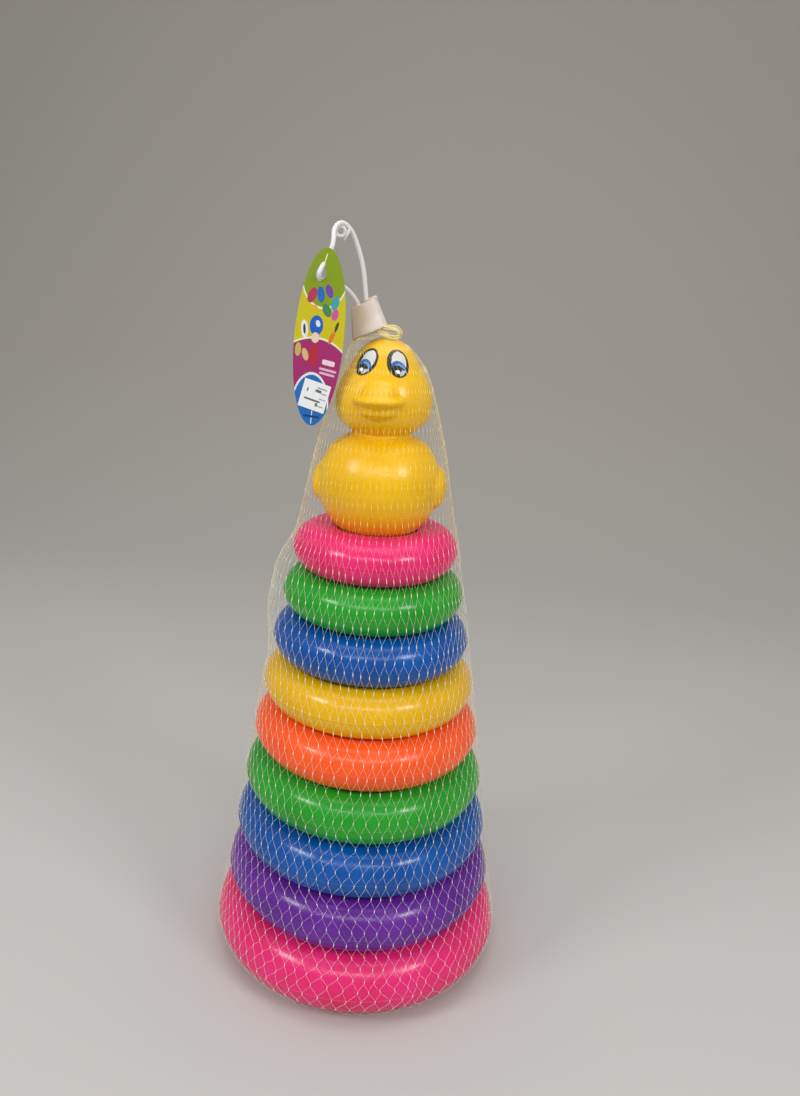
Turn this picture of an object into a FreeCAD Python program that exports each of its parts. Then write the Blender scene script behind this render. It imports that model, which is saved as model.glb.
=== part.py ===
# Stacking ring toy: a hollow base with a post, eight graded rings, a duck on top,
# and the shop packing it hangs in: net bag, closure cap, hanging loop and tag.
# Frame: millimetres, +Z up, origin on the floor under the post, the duck faces -Y.
import FreeCAD, Part
import math
import os
import re

import Sketcher

RINGS = 8
SCREWS = 3

# Driving sizes in millimetres and degrees, each with what it sets.
SIZES = [
    ("base_radius", 85.0, "outermost radius of the base"),
    ("base_height", 38.0, "height of the base, floor to deck"),
    ("base_wall", 2.2, "wall of the moulded base"),
    ("foot_width", 6.0, "width of the flat foot rim"),
    ("plate_height", 8.0, "underside of the bottom plate above the floor"),
    ("plate_thickness", 2.0, "bottom plate"),
    ("plate_clearance", 0.3, "gap between the bottom plate and the foot rim"),
    ("boss_pitch", 42.0, "radius of the circle of screw bosses"),
    ("boss_radius", 4.5, "screw boss"),
    ("pilot_depth", 14.0, "depth of the screw hole in a boss"),
    ("screw_radius", 1.5, "shank of a bottom screw"),
    ("screw_clearance", 0.05, "gap round a screw in its boss"),
    ("screw_length", 12.0, "shank of a bottom screw, under its head"),
    ("screw_head_radius", 3.4, "pan head"),
    ("screw_head_height", 2.2, "pan head"),
    ("post_foot_radius", 16.5, "radius of the post at its flange"),
    ("post_top_radius", 11.0, "radius of the post at its top"),
    ("post_wall", 1.8, "wall of the hollow post"),
    ("post_edge", 4.0, "rounding of the post's top"),
    ("post_reach", 14.0, "height of the post above the stacked rings"),
    ("flange_radius", 24.0, "flange trapped under the base's sleeve"),
    ("flange_thickness", 3.0, "flange trapped under the base's sleeve"),
    ("sleeve_wall", 2.0, "sleeve that steadies the post"),
    ("sleeve_clearance", 0.3, "gap round the post in its sleeve"),
    ("ring_radius", 78.0, "outer radius of the lowest ring"),
    ("ring_radius_step", 4.9, "each ring is this much smaller than the last"),
    ("ring_height", 32.4, "height of the lowest ring"),
    ("ring_height_step", 1.22, "each ring is this much lower than the last"),
    ("ring_wall", 1.6, "wall of the blow-moulded rings"),
    ("bore_radius", 18.0, "bore of every ring"),
    ("bore_edge", 7.0, "rounding between a ring's bore and its faces"),
    ("duck_wall", 1.6, "wall of the duck"),
    ("duck_radius", 32.0, "body, half its width without the wings"),
    ("duck_gap", 0.3, "gap between the body and the top ring's bore edge"),
    ("neck_radius", 15.3, "crease between body and head"),
    ("neck_rise", 25.2, "crease above the middle of the body"),
    ("head_radius", 24.5, "cheeks"),
    ("head_rise", 16.1, "cheeks above the crease"),
    ("crown_rise", 29.9, "top of the head above the cheeks"),
    ("socket_clearance", 0.6, "gap round the post in the duck's socket"),
    ("eye_rise", 19.5, "middle of an eye above the cheeks"),
    ("eye_turn", 23.0, "an eye's place round the head from straight ahead"),
    ("bill_half_width", 11.5, "flat bill"),
    ("bill_reach", 8.0, "tip of the bill in front of the cheeks"),
    ("bill_rise", 4.0, "middle of the upper bill above the cheeks"),
    ("bill_half_height", 4.5, "upper bill"),
    ("wing_reach", 2.5, "wing beyond the side of the body"),
    ("tail_reach", 4.0, "tail behind the body"),
    ("eye_half_width", 4.8, "printed eye patch"),
    ("eye_half_height", 6.6, "printed eye patch"),
    ("eye_thickness", 0.3, "printed eye patch"),
    ("eye_gap", 0.05, "adhesive under an eye patch"),
    ("net_gap", 0.8, "gap between the net bag and what it holds"),
    ("net_wall", 0.5, "net bag as a skin"),
    ("net_hem", 0.4, "lowest edge of the bag's side above the floor"),
    ("net_neck_radius", 5.0, "gathered neck of the net bag"),
    ("closure_tilt", 18.0, "lean of the closure to the duck's right"),
    ("closure_clearance", 0.3, "gap round the gathered neck in the closure cap"),
    ("closure_start", 33.0, "open end of the closure cap from the head's middle"),
    ("closure_length", 14.0, "closure cap"),
    ("closure_bore_depth", 9.0, "depth of the closure cap's bore"),
    ("closure_mouth_radius", 9.5, "open end of the closure cap"),
    ("closure_top_radius", 7.0, "closed end of the closure cap"),
    ("loop_radius", 1.15, "section of the hanging loop"),
    ("loop_eye_radius", 1.9, "moulded eye under the top of the loop"),
    ("loop_eye_section", 0.8, "section of the moulded eye"),
    ("tag_half_width", 12.7, "hang tag"),
    ("tag_half_height", 40.6, "hang tag"),
    ("tag_thickness", 0.5, "hang tag"),
    ("tag_hole_radius", 2.8, "hole in the hang tag"),
    ("tag_hole_rise", 29.4, "hole above the middle of the hang tag"),
    ("tag_hole_offset", 2.3, "hole to the left of the tag's middle line"),
    ("sticker_width", 14.0, "price sticker"),
    ("sticker_height", 12.5, "price sticker"),
    ("sticker_thickness", 0.12, "price sticker"),
    ("sticker_gap", 0.03, "adhesive under the price sticker"),
    ("sticker_drop", 26.5, "middle of the sticker below the tag's middle"),
]

# Route of the hanging loop, from the middle of the duck's head: out of the closure
# cap, over the top, in front of the tag, back through its hole and into the cap.
# Places in it: the top of the loop, and the run that goes through the tag's hole.
LOOP_ROUTE = [
    (-10.8, 1.0, 41.0),
    (-12.3, 0.5, 58.0),
    (-15.9, 0.0, 69.4),
    (-19.6, -1.5, 77.8),
    (-24.3, -4.5, 80.8),
    (-28.6, -9.5, 77.8),
    (-28.0, -16.8, 73.6),
    (-28.8, -22.6, 67.0),
    (-30.3, -21.8, 61.6),
    (-31.0, -14.2, 54.6),
    (-26.0, -10.4, 52.0),
    (-19.5, -5.5, 51.0),
    (-15.3, -0.5, 46.0),
    (-12.8, 0.5, 40.2),
]
LOOP_TOP = 4
TAG_RUN = 8
LOOP_EYE_DROP = 4.2

VALUES = {name: value for name, value, note in SIZES}
ALIAS = re.compile(r"\b(" + "|".join(VALUES) + r")\b")

doc = FreeCAD.newDocument("stacking_ring_toy")
sheet = doc.addObject("Spreadsheet::Sheet", "sizes")
for row, (name, value, note) in enumerate(SIZES, start=1):
    sheet.set(f"A{row}", name)
    sheet.set(f"B{row}", str(value))
    sheet.set(f"C{row}", note)
    sheet.setAlias(f"B{row}", name)
doc.recompute()


def formula(text):
    """The text of a formula with every size read from the sheet."""
    return ALIAS.sub(r"sizes.\1", str(text))


def value(text):
    """What a formula comes to now, as a plain number."""
    return float(sheet.evalExpression(str(text)))


def bind(item, **formulas):
    """Bind properties to formulas: a double underscore in a name stands for a dot."""
    for name, text in formulas.items():
        item.setExpression(name.replace("__", "."), formula(text))


# Levels up the stack, as formulas.
def ring_height(index):
    return f"(ring_height - {index} * ring_height_step)"


def ring_radius(index):
    return f"(ring_radius - {index} * ring_radius_step)"


def ring_bottom(index):
    return f"(base_height + {index} * ring_height - {index * (index - 1) // 2} * ring_height_step)"


STACK_TOP = ring_bottom(RINGS)
DUCK_MIDDLE = "(sqrt((duck_radius + bore_edge + duck_gap)^2 - (bore_radius + bore_edge)^2) - bore_edge)"
DUCK_NECK = f"({DUCK_MIDDLE} + neck_rise)"
DUCK_CHEEKS = f"({DUCK_NECK} + head_rise)"
DUCK_CROWN = f"({DUCK_CHEEKS} + crown_rise)"
HEAD_MIDDLE = f"({STACK_TOP} + {DUCK_CHEEKS})"
PLATE_TOP = "(plate_height + plate_thickness)"
SLEEVE_BOTTOM = f"({PLATE_TOP} + flange_thickness)"
SLEEVE_RADIUS = "(post_foot_radius + sleeve_clearance)"
POST_TOP = f"({STACK_TOP} + post_reach)"
FOOT_OUTER = "(base_radius - base_height / 2)"
FOOT_INNER = f"({FOOT_OUTER} - foot_width)"


CROWN_STRAIGHT = "(crown_rise - head_radius)"


def bulge(run, rise):
    """Radius of the arc that starts upright and comes in by run over its rise."""
    return f"((({run})^2 + ({rise})^2) / (2 * ({run})))"


# Sketches and features.
def new_body(name):
    body = doc.addObject("PartDesign::Body", name)
    body.Label = name
    return body


def origin_plane(body, role):
    for item in body.Origin.OriginFeatures:
        if item.Role == role:
            return item
    raise ValueError(role)


def new_sketch(body, name, role="XZ_Plane"):
    sketch = body.newObject("Sketcher::SketchObject", name)
    sketch.AttachmentSupport = [(origin_plane(body, role), "")]
    sketch.MapMode = "FlatFace"
    return sketch


def fix_point(sketch, geometry, end, corner):
    """Hold one end of a sketch edge at a corner given by two formulas."""
    for kind, axis, text in (("DistanceX", -2, corner[0]), ("DistanceY", -1, corner[1])):
        if text == "0":
            sketch.addConstraint(Sketcher.Constraint("PointOnObject", geometry, end, axis))
            continue
        number = sketch.addConstraint(Sketcher.Constraint(kind, -1, 1, geometry, end, value(text)))
        sketch.setExpression(f"Constraints[{number}]", formula(text))


def draw_outline(sketch, corners):
    """Draw a closed outline. A corner is (across, up) and may carry the radius of
    the arc that leads anticlockwise to the next corner, or clockwise with a minus."""
    places = [FreeCAD.Vector(value(corner[0]), value(corner[1]), 0) for corner in corners]
    first = sketch.GeometryCount
    ends = []
    for index, corner in enumerate(corners):
        start = places[index]
        finish = places[(index + 1) % len(places)]
        if len(corner) == 2:
            sketch.addGeometry(Part.LineSegment(start, finish), False)
            ends.append((1, 2))
            continue
        clockwise = corner[2].startswith("-")
        size = corner[2].lstrip("-")
        if clockwise:
            start, finish = finish, start
        chord = finish - start
        radius = value(size)
        height = math.sqrt(max(radius ** 2 - (chord.Length / 2) ** 2, 0))
        middle = (start + finish) / 2 + FreeCAD.Vector(-chord.y, chord.x, 0).normalize() * height
        turns = [math.atan2(place.y - middle.y, place.x - middle.x) for place in (start, finish)]
        circle = Part.Circle(middle, FreeCAD.Vector(0, 0, 1), radius)
        sketch.addGeometry(Part.ArcOfCircle(circle, turns[0], turns[1]), False)
        ends.append((2, 1) if clockwise else (1, 2))
    for index, corner in enumerate(corners):
        after = (index + 1) % len(corners)
        join = Sketcher.Constraint("Coincident", first + index, ends[index][1], first + after, ends[after][0])
        sketch.addConstraint(join)
    for index, corner in enumerate(corners):
        fix_point(sketch, first + index, ends[index][0], corner)
        if len(corner) == 3:
            size = corner[2].lstrip("-")
            number = sketch.addConstraint(Sketcher.Constraint("Radius", first + index, value(size)))
            sketch.setExpression(f"Constraints[{number}]", formula(size))


def draw_circle(sketch, across, up, radius):
    number = sketch.GeometryCount
    place = FreeCAD.Vector(value(across), value(up), 0)
    sketch.addGeometry(Part.Circle(place, FreeCAD.Vector(0, 0, 1), value(radius)), False)
    fix_point(sketch, number, 3, (across, up))
    size = sketch.addConstraint(Sketcher.Constraint("Radius", number, value(radius)))
    sketch.setExpression(f"Constraints[{size}]", formula(radius))


def draw_oval(sketch, up, half_width, half_height):
    """Draw an upright oval on the sketch's middle line."""
    middle = FreeCAD.Vector(0, value(up), 0)
    top = middle + FreeCAD.Vector(0, value(half_height), 0)
    side = middle + FreeCAD.Vector(value(half_width), 0, 0)
    number = sketch.GeometryCount
    sketch.addGeometry(Part.Ellipse(top, side, middle), False)
    sketch.exposeInternalGeometry(number)
    fix_point(sketch, number, 3, ("0", up))
    for axis, half in ((number + 1, half_height), (number + 2, half_width)):
        size = sketch.addConstraint(Sketcher.Constraint("Distance", axis, 2 * value(half)))
        sketch.setExpression(f"Constraints[{size}]", formula(f"2 * {half}"))
    sketch.addConstraint(Sketcher.Constraint("Vertical", number + 1))


def revolve(body, name, outlines, cut=False):
    """Spin closed outlines of the body's XZ plane about its Z axis, to add or to cut."""
    sketch = new_sketch(body, f"{name}_profile")
    for corners in outlines:
        draw_outline(sketch, corners)
    kind = "Groove" if cut else "Revolution"
    spin = body.newObject(f"PartDesign::{kind}", name)
    spin.Profile = sketch
    spin.ReferenceAxis = (sketch, ["V_Axis"])
    spin.Angle = 360
    doc.recompute()
    return spin


def pad(body, name, sketch, length, both_ways=False):
    block = body.newObject("PartDesign::Pad", name)
    block.Profile = sketch
    bind(block, Length=length)
    block.Midplane = both_ways
    doc.recompute()
    return block


def pocket(body, name, sketch, length=None, reverse=False):
    """Cut a sketch out of the body, right through unless a depth is given."""
    before = body.Shape.Volume
    cut = body.newObject("PartDesign::Pocket", name)
    cut.Profile = sketch
    cut.Reversed = reverse
    if length is None:
        cut.Type = "ThroughAll"
    else:
        bind(cut, Length=length)
    doc.recompute()
    if not body.Shape.Volume < before:
        raise ValueError(f"{name} cuts nothing")
    return cut


def pattern_round(body, name, features, count):
    """Repeat features round the body's Z axis."""
    ring = body.newObject("PartDesign::PolarPattern", name)
    ring.Originals = features
    ring.Axis = (origin_plane(body, "Z_Axis"), [""])
    ring.Angle = 360
    ring.Occurrences = count
    body.Tip = ring
    doc.recompute()
    return ring


def add_ellipsoid(body, name, centre, halves, cut=False):
    """Add or cut an ellipsoid at centre with half sizes along X, Y and Z."""
    kind = "SubtractiveEllipsoid" if cut else "AdditiveEllipsoid"
    item = body.newObject(f"PartDesign::{kind}", name)
    item.AttachmentSupport = [(origin_plane(body, "XY_Plane"), "")]
    item.MapMode = "FlatFace"
    across, along, up = centre
    bind(item, AttachmentOffset__Base__x=across, AttachmentOffset__Base__y=along)
    bind(item, AttachmentOffset__Base__z=up)
    bind(item, Radius2=halves[0], Radius3=halves[1], Radius1=halves[2])
    item.Angle1 = -90
    item.Angle2 = 90
    item.Angle3 = 360
    doc.recompute()
    return item


# Base: a ring-shaped moulding with a flat deck, open underneath, with a sleeve for
# the post and three screw bosses.
base = new_body("base_shell")
BASE_BEND = "(base_height / 2)"
BASE_INNER_BEND = "(base_height / 2 - base_wall)"
BASE_UNDER = "(base_height - base_wall)"
SLEEVE_OUTER = f"({SLEEVE_RADIUS} + sleeve_wall)"
revolve(base, "base_moulding", [[
    (SLEEVE_RADIUS, "base_height"),
    (SLEEVE_RADIUS, SLEEVE_BOTTOM),
    (SLEEVE_OUTER, SLEEVE_BOTTOM),
    (SLEEVE_OUTER, BASE_UNDER),
    (FOOT_OUTER, BASE_UNDER, f"-{BASE_INNER_BEND}"),
    ("base_radius - base_wall", "base_height / 2", f"-{BASE_INNER_BEND}"),
    (FOOT_OUTER, "base_wall"),
    (FOOT_INNER, "base_wall"),
    (FOOT_INNER, "0"),
    (FOOT_OUTER, "0", BASE_BEND),
    ("base_radius", "base_height / 2", BASE_BEND),
    (FOOT_OUTER, "base_height"),
]])
boss_sketch = new_sketch(base, "boss_outline", "XY_Plane")
bind(boss_sketch, AttachmentOffset__Base__z=PLATE_TOP)
draw_circle(boss_sketch, "boss_pitch", "0", "boss_radius")
boss = pad(base, "boss", boss_sketch, f"base_height - base_wall / 2 - {PLATE_TOP}")
pilot_sketch = new_sketch(base, "pilot_outline", "XY_Plane")
bind(pilot_sketch, AttachmentOffset__Base__z=PLATE_TOP)
draw_circle(pilot_sketch, "boss_pitch", "0", "screw_radius + screw_clearance")
pilot = pocket(base, "pilot", pilot_sketch, "pilot_depth", reverse=True)
pattern_round(base, "bosses", [boss, pilot], SCREWS)

# Bottom plate: a disc inside the foot rim, held by three screws.
plate = new_body("base_plate")
plate_sketch = new_sketch(plate, "plate_outline", "XY_Plane")
bind(plate_sketch, AttachmentOffset__Base__z="plate_height")
draw_circle(plate_sketch, "0", "0", f"{FOOT_INNER} - plate_clearance")
pad(plate, "plate_disc", plate_sketch, "plate_thickness")
hole_sketch = new_sketch(plate, "screw_hole_outline", "XY_Plane")
draw_circle(hole_sketch, "boss_pitch", "0", "screw_radius + 4 * screw_clearance")
screw_hole = pocket(plate, "screw_hole", hole_sketch, reverse=True)
pattern_round(plate, "screw_holes", [screw_hole], SCREWS)

# Bottom screws: pan-head self-tapping screws with a slot, driven up into the bosses.
for number in range(SCREWS):
    screw = new_body(f"base_screw_{number + 1}")
    revolve(screw, "screw_turning", [[
        ("0", "0"),
        ("screw_head_radius - screw_head_height / 2", "0", "screw_head_height / 2"),
        ("screw_head_radius", "screw_head_height / 2"),
        ("screw_head_radius", "screw_head_height"),
        ("screw_radius", "screw_head_height"),
        ("screw_radius", "screw_head_height + screw_length - screw_radius"),
        ("screw_radius / 4", "screw_head_height + screw_length"),
        ("0", "screw_head_height + screw_length"),
    ]])
    slot_sketch = new_sketch(screw, "slot_outline", "XY_Plane")
    SLOT_REACH = "(screw_head_radius * 0.6)"
    SLOT_HALF = "(screw_radius / 3)"
    draw_outline(slot_sketch, [
        (SLOT_REACH, f"-{SLOT_HALF}"),
        (SLOT_REACH, SLOT_HALF),
        (f"-{SLOT_REACH}", SLOT_HALF),
        (f"-{SLOT_REACH}", f"-{SLOT_HALF}"),
    ])
    pocket(screw, "slot", slot_sketch, "screw_head_height / 2", reverse=True)
    turn = number * 360 / SCREWS
    bind(screw, Placement__Base__x=f"boss_pitch * cos({turn})")
    bind(screw, Placement__Base__y=f"boss_pitch * sin({turn})")
    bind(screw, Placement__Base__z="plate_height - screw_head_height")

# Post: a hollow tapered tube with a domed top and a flange trapped under the sleeve.
post = new_body("post")
revolve(post, "post_moulding", [[
    ("post_foot_radius - post_wall", PLATE_TOP),
    ("flange_radius", PLATE_TOP),
    ("flange_radius", SLEEVE_BOTTOM),
    ("post_foot_radius", SLEEVE_BOTTOM),
    ("post_top_radius", f"{POST_TOP} - post_edge", "post_edge"),
    ("post_top_radius - post_edge", POST_TOP),
    ("0", POST_TOP),
    ("0", f"{POST_TOP} - post_wall"),
    ("post_top_radius - post_edge", f"{POST_TOP} - post_wall", "-(post_edge - post_wall)"),
    ("post_top_radius - post_wall", f"{POST_TOP} - post_edge"),
]])


# Rings: blow-moulded hollow rings, each smaller and lower than the one below, with a
# round outer wall, flat faces where they stack and a rounded bore.
def ring_outline(index, inset):
    height = ring_height(index)
    outer = ring_radius(index)
    shoulder = f"({outer} - {height} / 2)"
    bend = f"({height} / 2 - {inset})"
    edge = f"(bore_edge - {inset})"
    lip = "(bore_radius + bore_edge)"
    low = "0" if inset == "0" else inset
    return [
        (lip, low),
        (shoulder, low, bend),
        (f"{outer} - {inset}", f"{height} / 2", bend),
        (shoulder, f"{height} - {inset}"),
        (lip, f"{height} - {inset}", edge),
        (f"bore_radius + {inset}", f"{height} - bore_edge"),
        (f"bore_radius + {inset}", "bore_edge", edge),
    ]


for index in range(RINGS):
    ring = new_body(f"ring_{index + 1}")
    revolve(ring, "ring_moulding", [ring_outline(index, "0"), ring_outline(index, "ring_wall")])
    bind(ring, Placement__Base__z=ring_bottom(index))

# Duck: a hollow moulding whose round body sits in the top ring's bore, with a socket
# for the post, a flat bill, two wings and a tail.
duck = new_body("duck")
SOCKET = "(post_top_radius + socket_clearance + (post_foot_radius - post_top_radius) * 0.1)"
SOCKET_TOP = "(post_reach + socket_clearance)"
SOCKET_WALL = f"({SOCKET} + duck_wall)"
NECK_RUN = "(duck_radius - neck_radius)"
CHEEK_RUN = "(head_radius - neck_radius)"
revolve(duck, "duck_moulding", [[
    ("0", SOCKET_TOP),
    (SOCKET, SOCKET_TOP),
    (SOCKET, f"{DUCK_MIDDLE} - sqrt(duck_radius^2 - {SOCKET}^2)", "duck_radius"),
    ("duck_radius", DUCK_MIDDLE, bulge(NECK_RUN, "neck_rise")),
    ("neck_radius", DUCK_NECK, bulge(CHEEK_RUN, "head_rise")),
    ("head_radius", DUCK_CHEEKS),
    ("head_radius", f"{DUCK_CHEEKS} + {CROWN_STRAIGHT}", "head_radius"),
    ("0", DUCK_CROWN),
    ("0", f"{DUCK_CROWN} - duck_wall", "-(head_radius - duck_wall)"),
    ("head_radius - duck_wall", f"{DUCK_CHEEKS} + {CROWN_STRAIGHT}"),
    ("head_radius - duck_wall", DUCK_CHEEKS, "-" + bulge(CHEEK_RUN, "head_rise")),
    ("neck_radius - duck_wall", DUCK_NECK, "-" + bulge(NECK_RUN, "neck_rise")),
    ("duck_radius - duck_wall", DUCK_MIDDLE, "-(duck_radius - duck_wall)"),
    (SOCKET_WALL, f"{DUCK_MIDDLE} - sqrt((duck_radius - duck_wall)^2 - {SOCKET_WALL}^2)"),
    (SOCKET_WALL, f"{SOCKET_TOP} + duck_wall"),
    ("0", f"{SOCKET_TOP} + duck_wall"),
]])
BILL_ROOT = "-(head_radius - 3)"
BILL_HALF = "(bill_reach + 3)"
UPPER_BILL = ("0", BILL_ROOT, f"{DUCK_CHEEKS} + bill_rise")
LOWER_BILL = ("0", BILL_ROOT, f"{DUCK_CHEEKS} + bill_rise - bill_half_height - 0.5")
add_ellipsoid(duck, "bill_upper", UPPER_BILL, ("bill_half_width", BILL_HALF, "bill_half_height"))
add_ellipsoid(duck, "bill_lower", LOWER_BILL, ("bill_half_width - 2", f"{BILL_HALF} - 2", "bill_half_height"))
for side, name in ((-1, "wing_right"), (1, "wing_left")):
    place = (f"{side} * (duck_radius - 4)", "2", f"{DUCK_MIDDLE} + 1")
    add_ellipsoid(duck, name, place, ("wing_reach + 4", "13", "11"))
add_ellipsoid(duck, "tail", ("0", "duck_radius - 4", f"{DUCK_MIDDLE} + 6"), ("7", "tail_reach + 4", "5"))
bind(duck, Placement__Base__z=STACK_TOP)

# Eyes: thin printed patches that follow the curve of the head.
for side, name in ((-1, "eye_right"), (1, "eye_left")):
    eye = new_body(name)
    near = "(head_radius + eye_gap)"
    far = f"({near} + eye_thickness)"
    revolve(eye, "eye_skin", [[
        (near, CROWN_STRAIGHT),
        (far, CROWN_STRAIGHT, far),
        ("0", f"{CROWN_STRAIGHT} + {far}"),
        ("0", f"{CROWN_STRAIGHT} + {near}", f"-{near}"),
    ]])
    trim = new_sketch(eye, "eye_outline", "YZ_Plane")
    draw_circle(trim, "0", "0", "4 * head_radius")
    draw_oval(trim, "eye_rise", "eye_half_width", "eye_half_height")
    pocket(eye, "eye_trim", trim, reverse=True)
    back = new_sketch(eye, "back_outline", "XY_Plane")
    draw_outline(back, [
        ("-2 * head_radius", "-2 * head_radius"),
        ("2", "-2 * head_radius"),
        ("2", "2 * head_radius"),
        ("-2 * head_radius", "2 * head_radius"),
    ])
    pocket(eye, "back_trim", back, reverse=True)
    eye.Placement = FreeCAD.Placement(FreeCAD.Vector(), FreeCAD.Rotation(FreeCAD.Vector(0, 0, 1), 1))
    bind(eye, Placement__Base__z=HEAD_MIDDLE, Placement__Rotation__Angle=f"-90 + {side} * eye_turn")

# Net bag: the outer shape of the stretched net as a closed skin, from the foot over
# the rings and the duck to the gathered neck.
net = new_body("net_bag")


def net_side(inset):
    """Corners of one face of the bag, from the hem up, inset from the outer face."""
    spread = f"(net_gap + net_wall - {inset})"
    clear = f"(base_height / 2 + net_gap / 2 + net_wall - {inset})"
    reach = f"({FOOT_OUTER} - ring_radius - {spread})"
    rise = f"({ring_bottom(0)} + {ring_height(0)} / 2 - base_height / 2)"
    lean = f"({clear}^2 * {reach} + {clear} * {rise} * sqrt({rise}^2 + {reach}^2 - {clear}^2))"
    # Wide enough for the straight side above to pass the base's upper bend.
    bend = f"max(base_height / 2 + {spread}; {lean} / ({rise}^2 - {clear}^2))"
    low = f"({FOOT_OUTER} + sqrt({bend}^2 - (base_height / 2 - net_hem)^2))"
    corners = [(low, "net_hem"), (f"{FOOT_OUTER} + {bend}", "base_height / 2")]
    for index in range(RINGS):
        middle = f"{ring_bottom(index)} + {ring_height(index)} / 2"
        corners.append((f"{ring_radius(index)} + {spread}", middle))
    body_top = f"{STACK_TOP} + {DUCK_MIDDLE}"
    corners.append((f"duck_radius + 5 + {spread}", f"{body_top} - duck_radius / 3"))
    corners.append((f"duck_radius + 4 + {spread}", f"{body_top} + duck_radius / 3"))
    corners.append((f"head_radius + 2 + {spread}", f"{HEAD_MIDDLE} - head_rise / 2"))
    corners.append((f"head_radius + {spread}", HEAD_MIDDLE))
    corners.append((f"head_radius + {spread}", f"{HEAD_MIDDLE} + {CROWN_STRAIGHT}"))
    corners.append(("0", f"{HEAD_MIDDLE} + crown_rise + {spread}"))
    return corners, bend, f"(head_radius + {spread})"


def net_solid(inset, hem):
    """The bag filled up, from its hem to the crown, and a tent where the bill is."""
    cut = inset != "0"
    corners, foot, crown = net_side(inset)
    corners[0] += (foot,)
    corners[-2] += (crown,)
    revolve(net, "net_hollow" if cut else "net_form", [[("0", hem), (corners[0][0], hem)] + corners], cut)
    halves = [f"{half} + net_wall - {inset}" for half in TENT_HALVES]
    add_ellipsoid(net, "bill_room" if cut else "bill_tent", TENT_MIDDLE, halves, cut)


# The net stands off the face like a tent where the bill pushes it out.
TENT_MIDDLE = ("0", f"{BILL_ROOT} / 2 - 4", f"{HEAD_MIDDLE} + bill_rise / 2")
TENT_HALVES = ("bill_half_width + 4", f"{BILL_HALF} + 8", "bill_half_height + 16")
net_solid("0", "net_hem / 2")
net_solid("net_wall", "-net_hem")
gather = net.newObject("PartDesign::AdditiveCylinder", "net_neck")
gather.AttachmentSupport = [(origin_plane(net, "XY_Plane"), "")]
gather.MapMode = "FlatFace"
gather.AttachmentOffset = FreeCAD.Placement(FreeCAD.Vector(), FreeCAD.Rotation(FreeCAD.Vector(0, -1, 0), 1))
NECK_ROOT = f"({CROWN_STRAIGHT} * cos(closure_tilt) + head_radius + net_gap + net_wall / 2)"
bind(gather, AttachmentOffset__Rotation__Angle="closure_tilt")
bind(gather, AttachmentOffset__Base__x=f"-{NECK_ROOT} * sin(closure_tilt)")
bind(gather, AttachmentOffset__Base__z=f"{HEAD_MIDDLE} + {NECK_ROOT} * cos(closure_tilt)")
bind(gather, Radius="net_neck_radius")
bind(gather, Height=f"closure_start + closure_bore_depth - closure_clearance - {NECK_ROOT}")
doc.recompute()


def seat_on_head(item):
    """Put an item drawn from the middle of the head up its own axis onto the lean."""
    item.Placement = FreeCAD.Placement(FreeCAD.Vector(), FreeCAD.Rotation(FreeCAD.Vector(0, -1, 0), 1))
    bind(item, Placement__Base__z=HEAD_MIDDLE, Placement__Rotation__Angle="closure_tilt")


# Closure cap: a tapered plastic plug with a blind bore for the gathered neck.
cap = new_body("closure_cap")
CAP_BORE = "(net_neck_radius + closure_clearance)"
CAP_BORE_TOP = "(closure_start + closure_bore_depth)"
revolve(cap, "cap_moulding", [[
    (CAP_BORE, "closure_start"),
    ("closure_mouth_radius", "closure_start"),
    ("closure_top_radius", "closure_start + closure_length"),
    ("0", "closure_start + closure_length"),
    ("0", CAP_BORE_TOP),
    (CAP_BORE, CAP_BORE_TOP),
]])
seat_on_head(cap)


# Hanging loop: a round moulded cord whose two ends are moulded into the cap.
def rounded_route(points):
    """Straight runs joined by tangent arcs as large as the runs allow."""
    places = [FreeCAD.Vector(*point) for point in points]
    edges = []
    radii = []
    start = places[0]
    for before, corner, after in zip(places, places[1:], places[2:]):
        into = corner - before
        out = after - corner
        half_turn = into.getAngle(out) / 2
        radius = 0.45 * min(into.Length, out.Length) / math.tan(half_turn)
        reach = radius * math.tan(half_turn)
        towards = FreeCAD.Vector(into).normalize()
        away = FreeCAD.Vector(out).normalize()
        first = corner - towards * reach
        last = corner + away * reach
        inward = (away - towards).normalize()
        middle = corner + inward * (radius / math.cos(half_turn) - radius)
        edges.append(Part.LineSegment(start, first).toShape())
        edges.append(Part.Arc(first, middle, last).toShape())
        radii.append(radius)
        start = last
    edges.append(Part.LineSegment(start, places[-1]).toShape())
    return Part.Wire(edges), radii


route, radii = rounded_route(LOOP_ROUTE)
print("loop length", round(route.Length, 1), "radii", [round(radius, 1) for radius in radii])
lead = FreeCAD.Vector(*LOOP_ROUTE[1]) - FreeCAD.Vector(*LOOP_ROUTE[0])
section = Part.Wire(Part.makeCircle(value("loop_radius"), FreeCAD.Vector(*LOOP_ROUTE[0]), lead))
tube = route.makePipeShell([section], True, False)
expected = math.pi * value("loop_radius") ** 2 * route.Length
print("loop volume", round(tube.Volume, 1), "expected", round(expected, 1))
eye_place = FreeCAD.Vector(*LOOP_ROUTE[LOOP_TOP]) - FreeCAD.Vector(0, 0, LOOP_EYE_DROP)
eye_sizes = (value("loop_eye_radius"), value("loop_eye_section"))
eye_ring = Part.makeTorus(*eye_sizes, eye_place, FreeCAD.Vector(0, 1, 0))
cap_outside = Part.makeCone(
    value("closure_mouth_radius"), value("closure_top_radius"), value("closure_length"),
    FreeCAD.Vector(0, 0, value("closure_start")), FreeCAD.Vector(0, 0, 1))
cap_outside.rotate(FreeCAD.Vector(), FreeCAD.Vector(0, -1, 0), value("closure_tilt"))
loop = doc.addObject("Part::Feature", "hang_loop")
loop.Label = "hang_loop"
loop.Shape = tube.fuse(eye_ring).cut(cap_outside)
bind(loop, Placement__Base__z=HEAD_MIDDLE)

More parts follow.
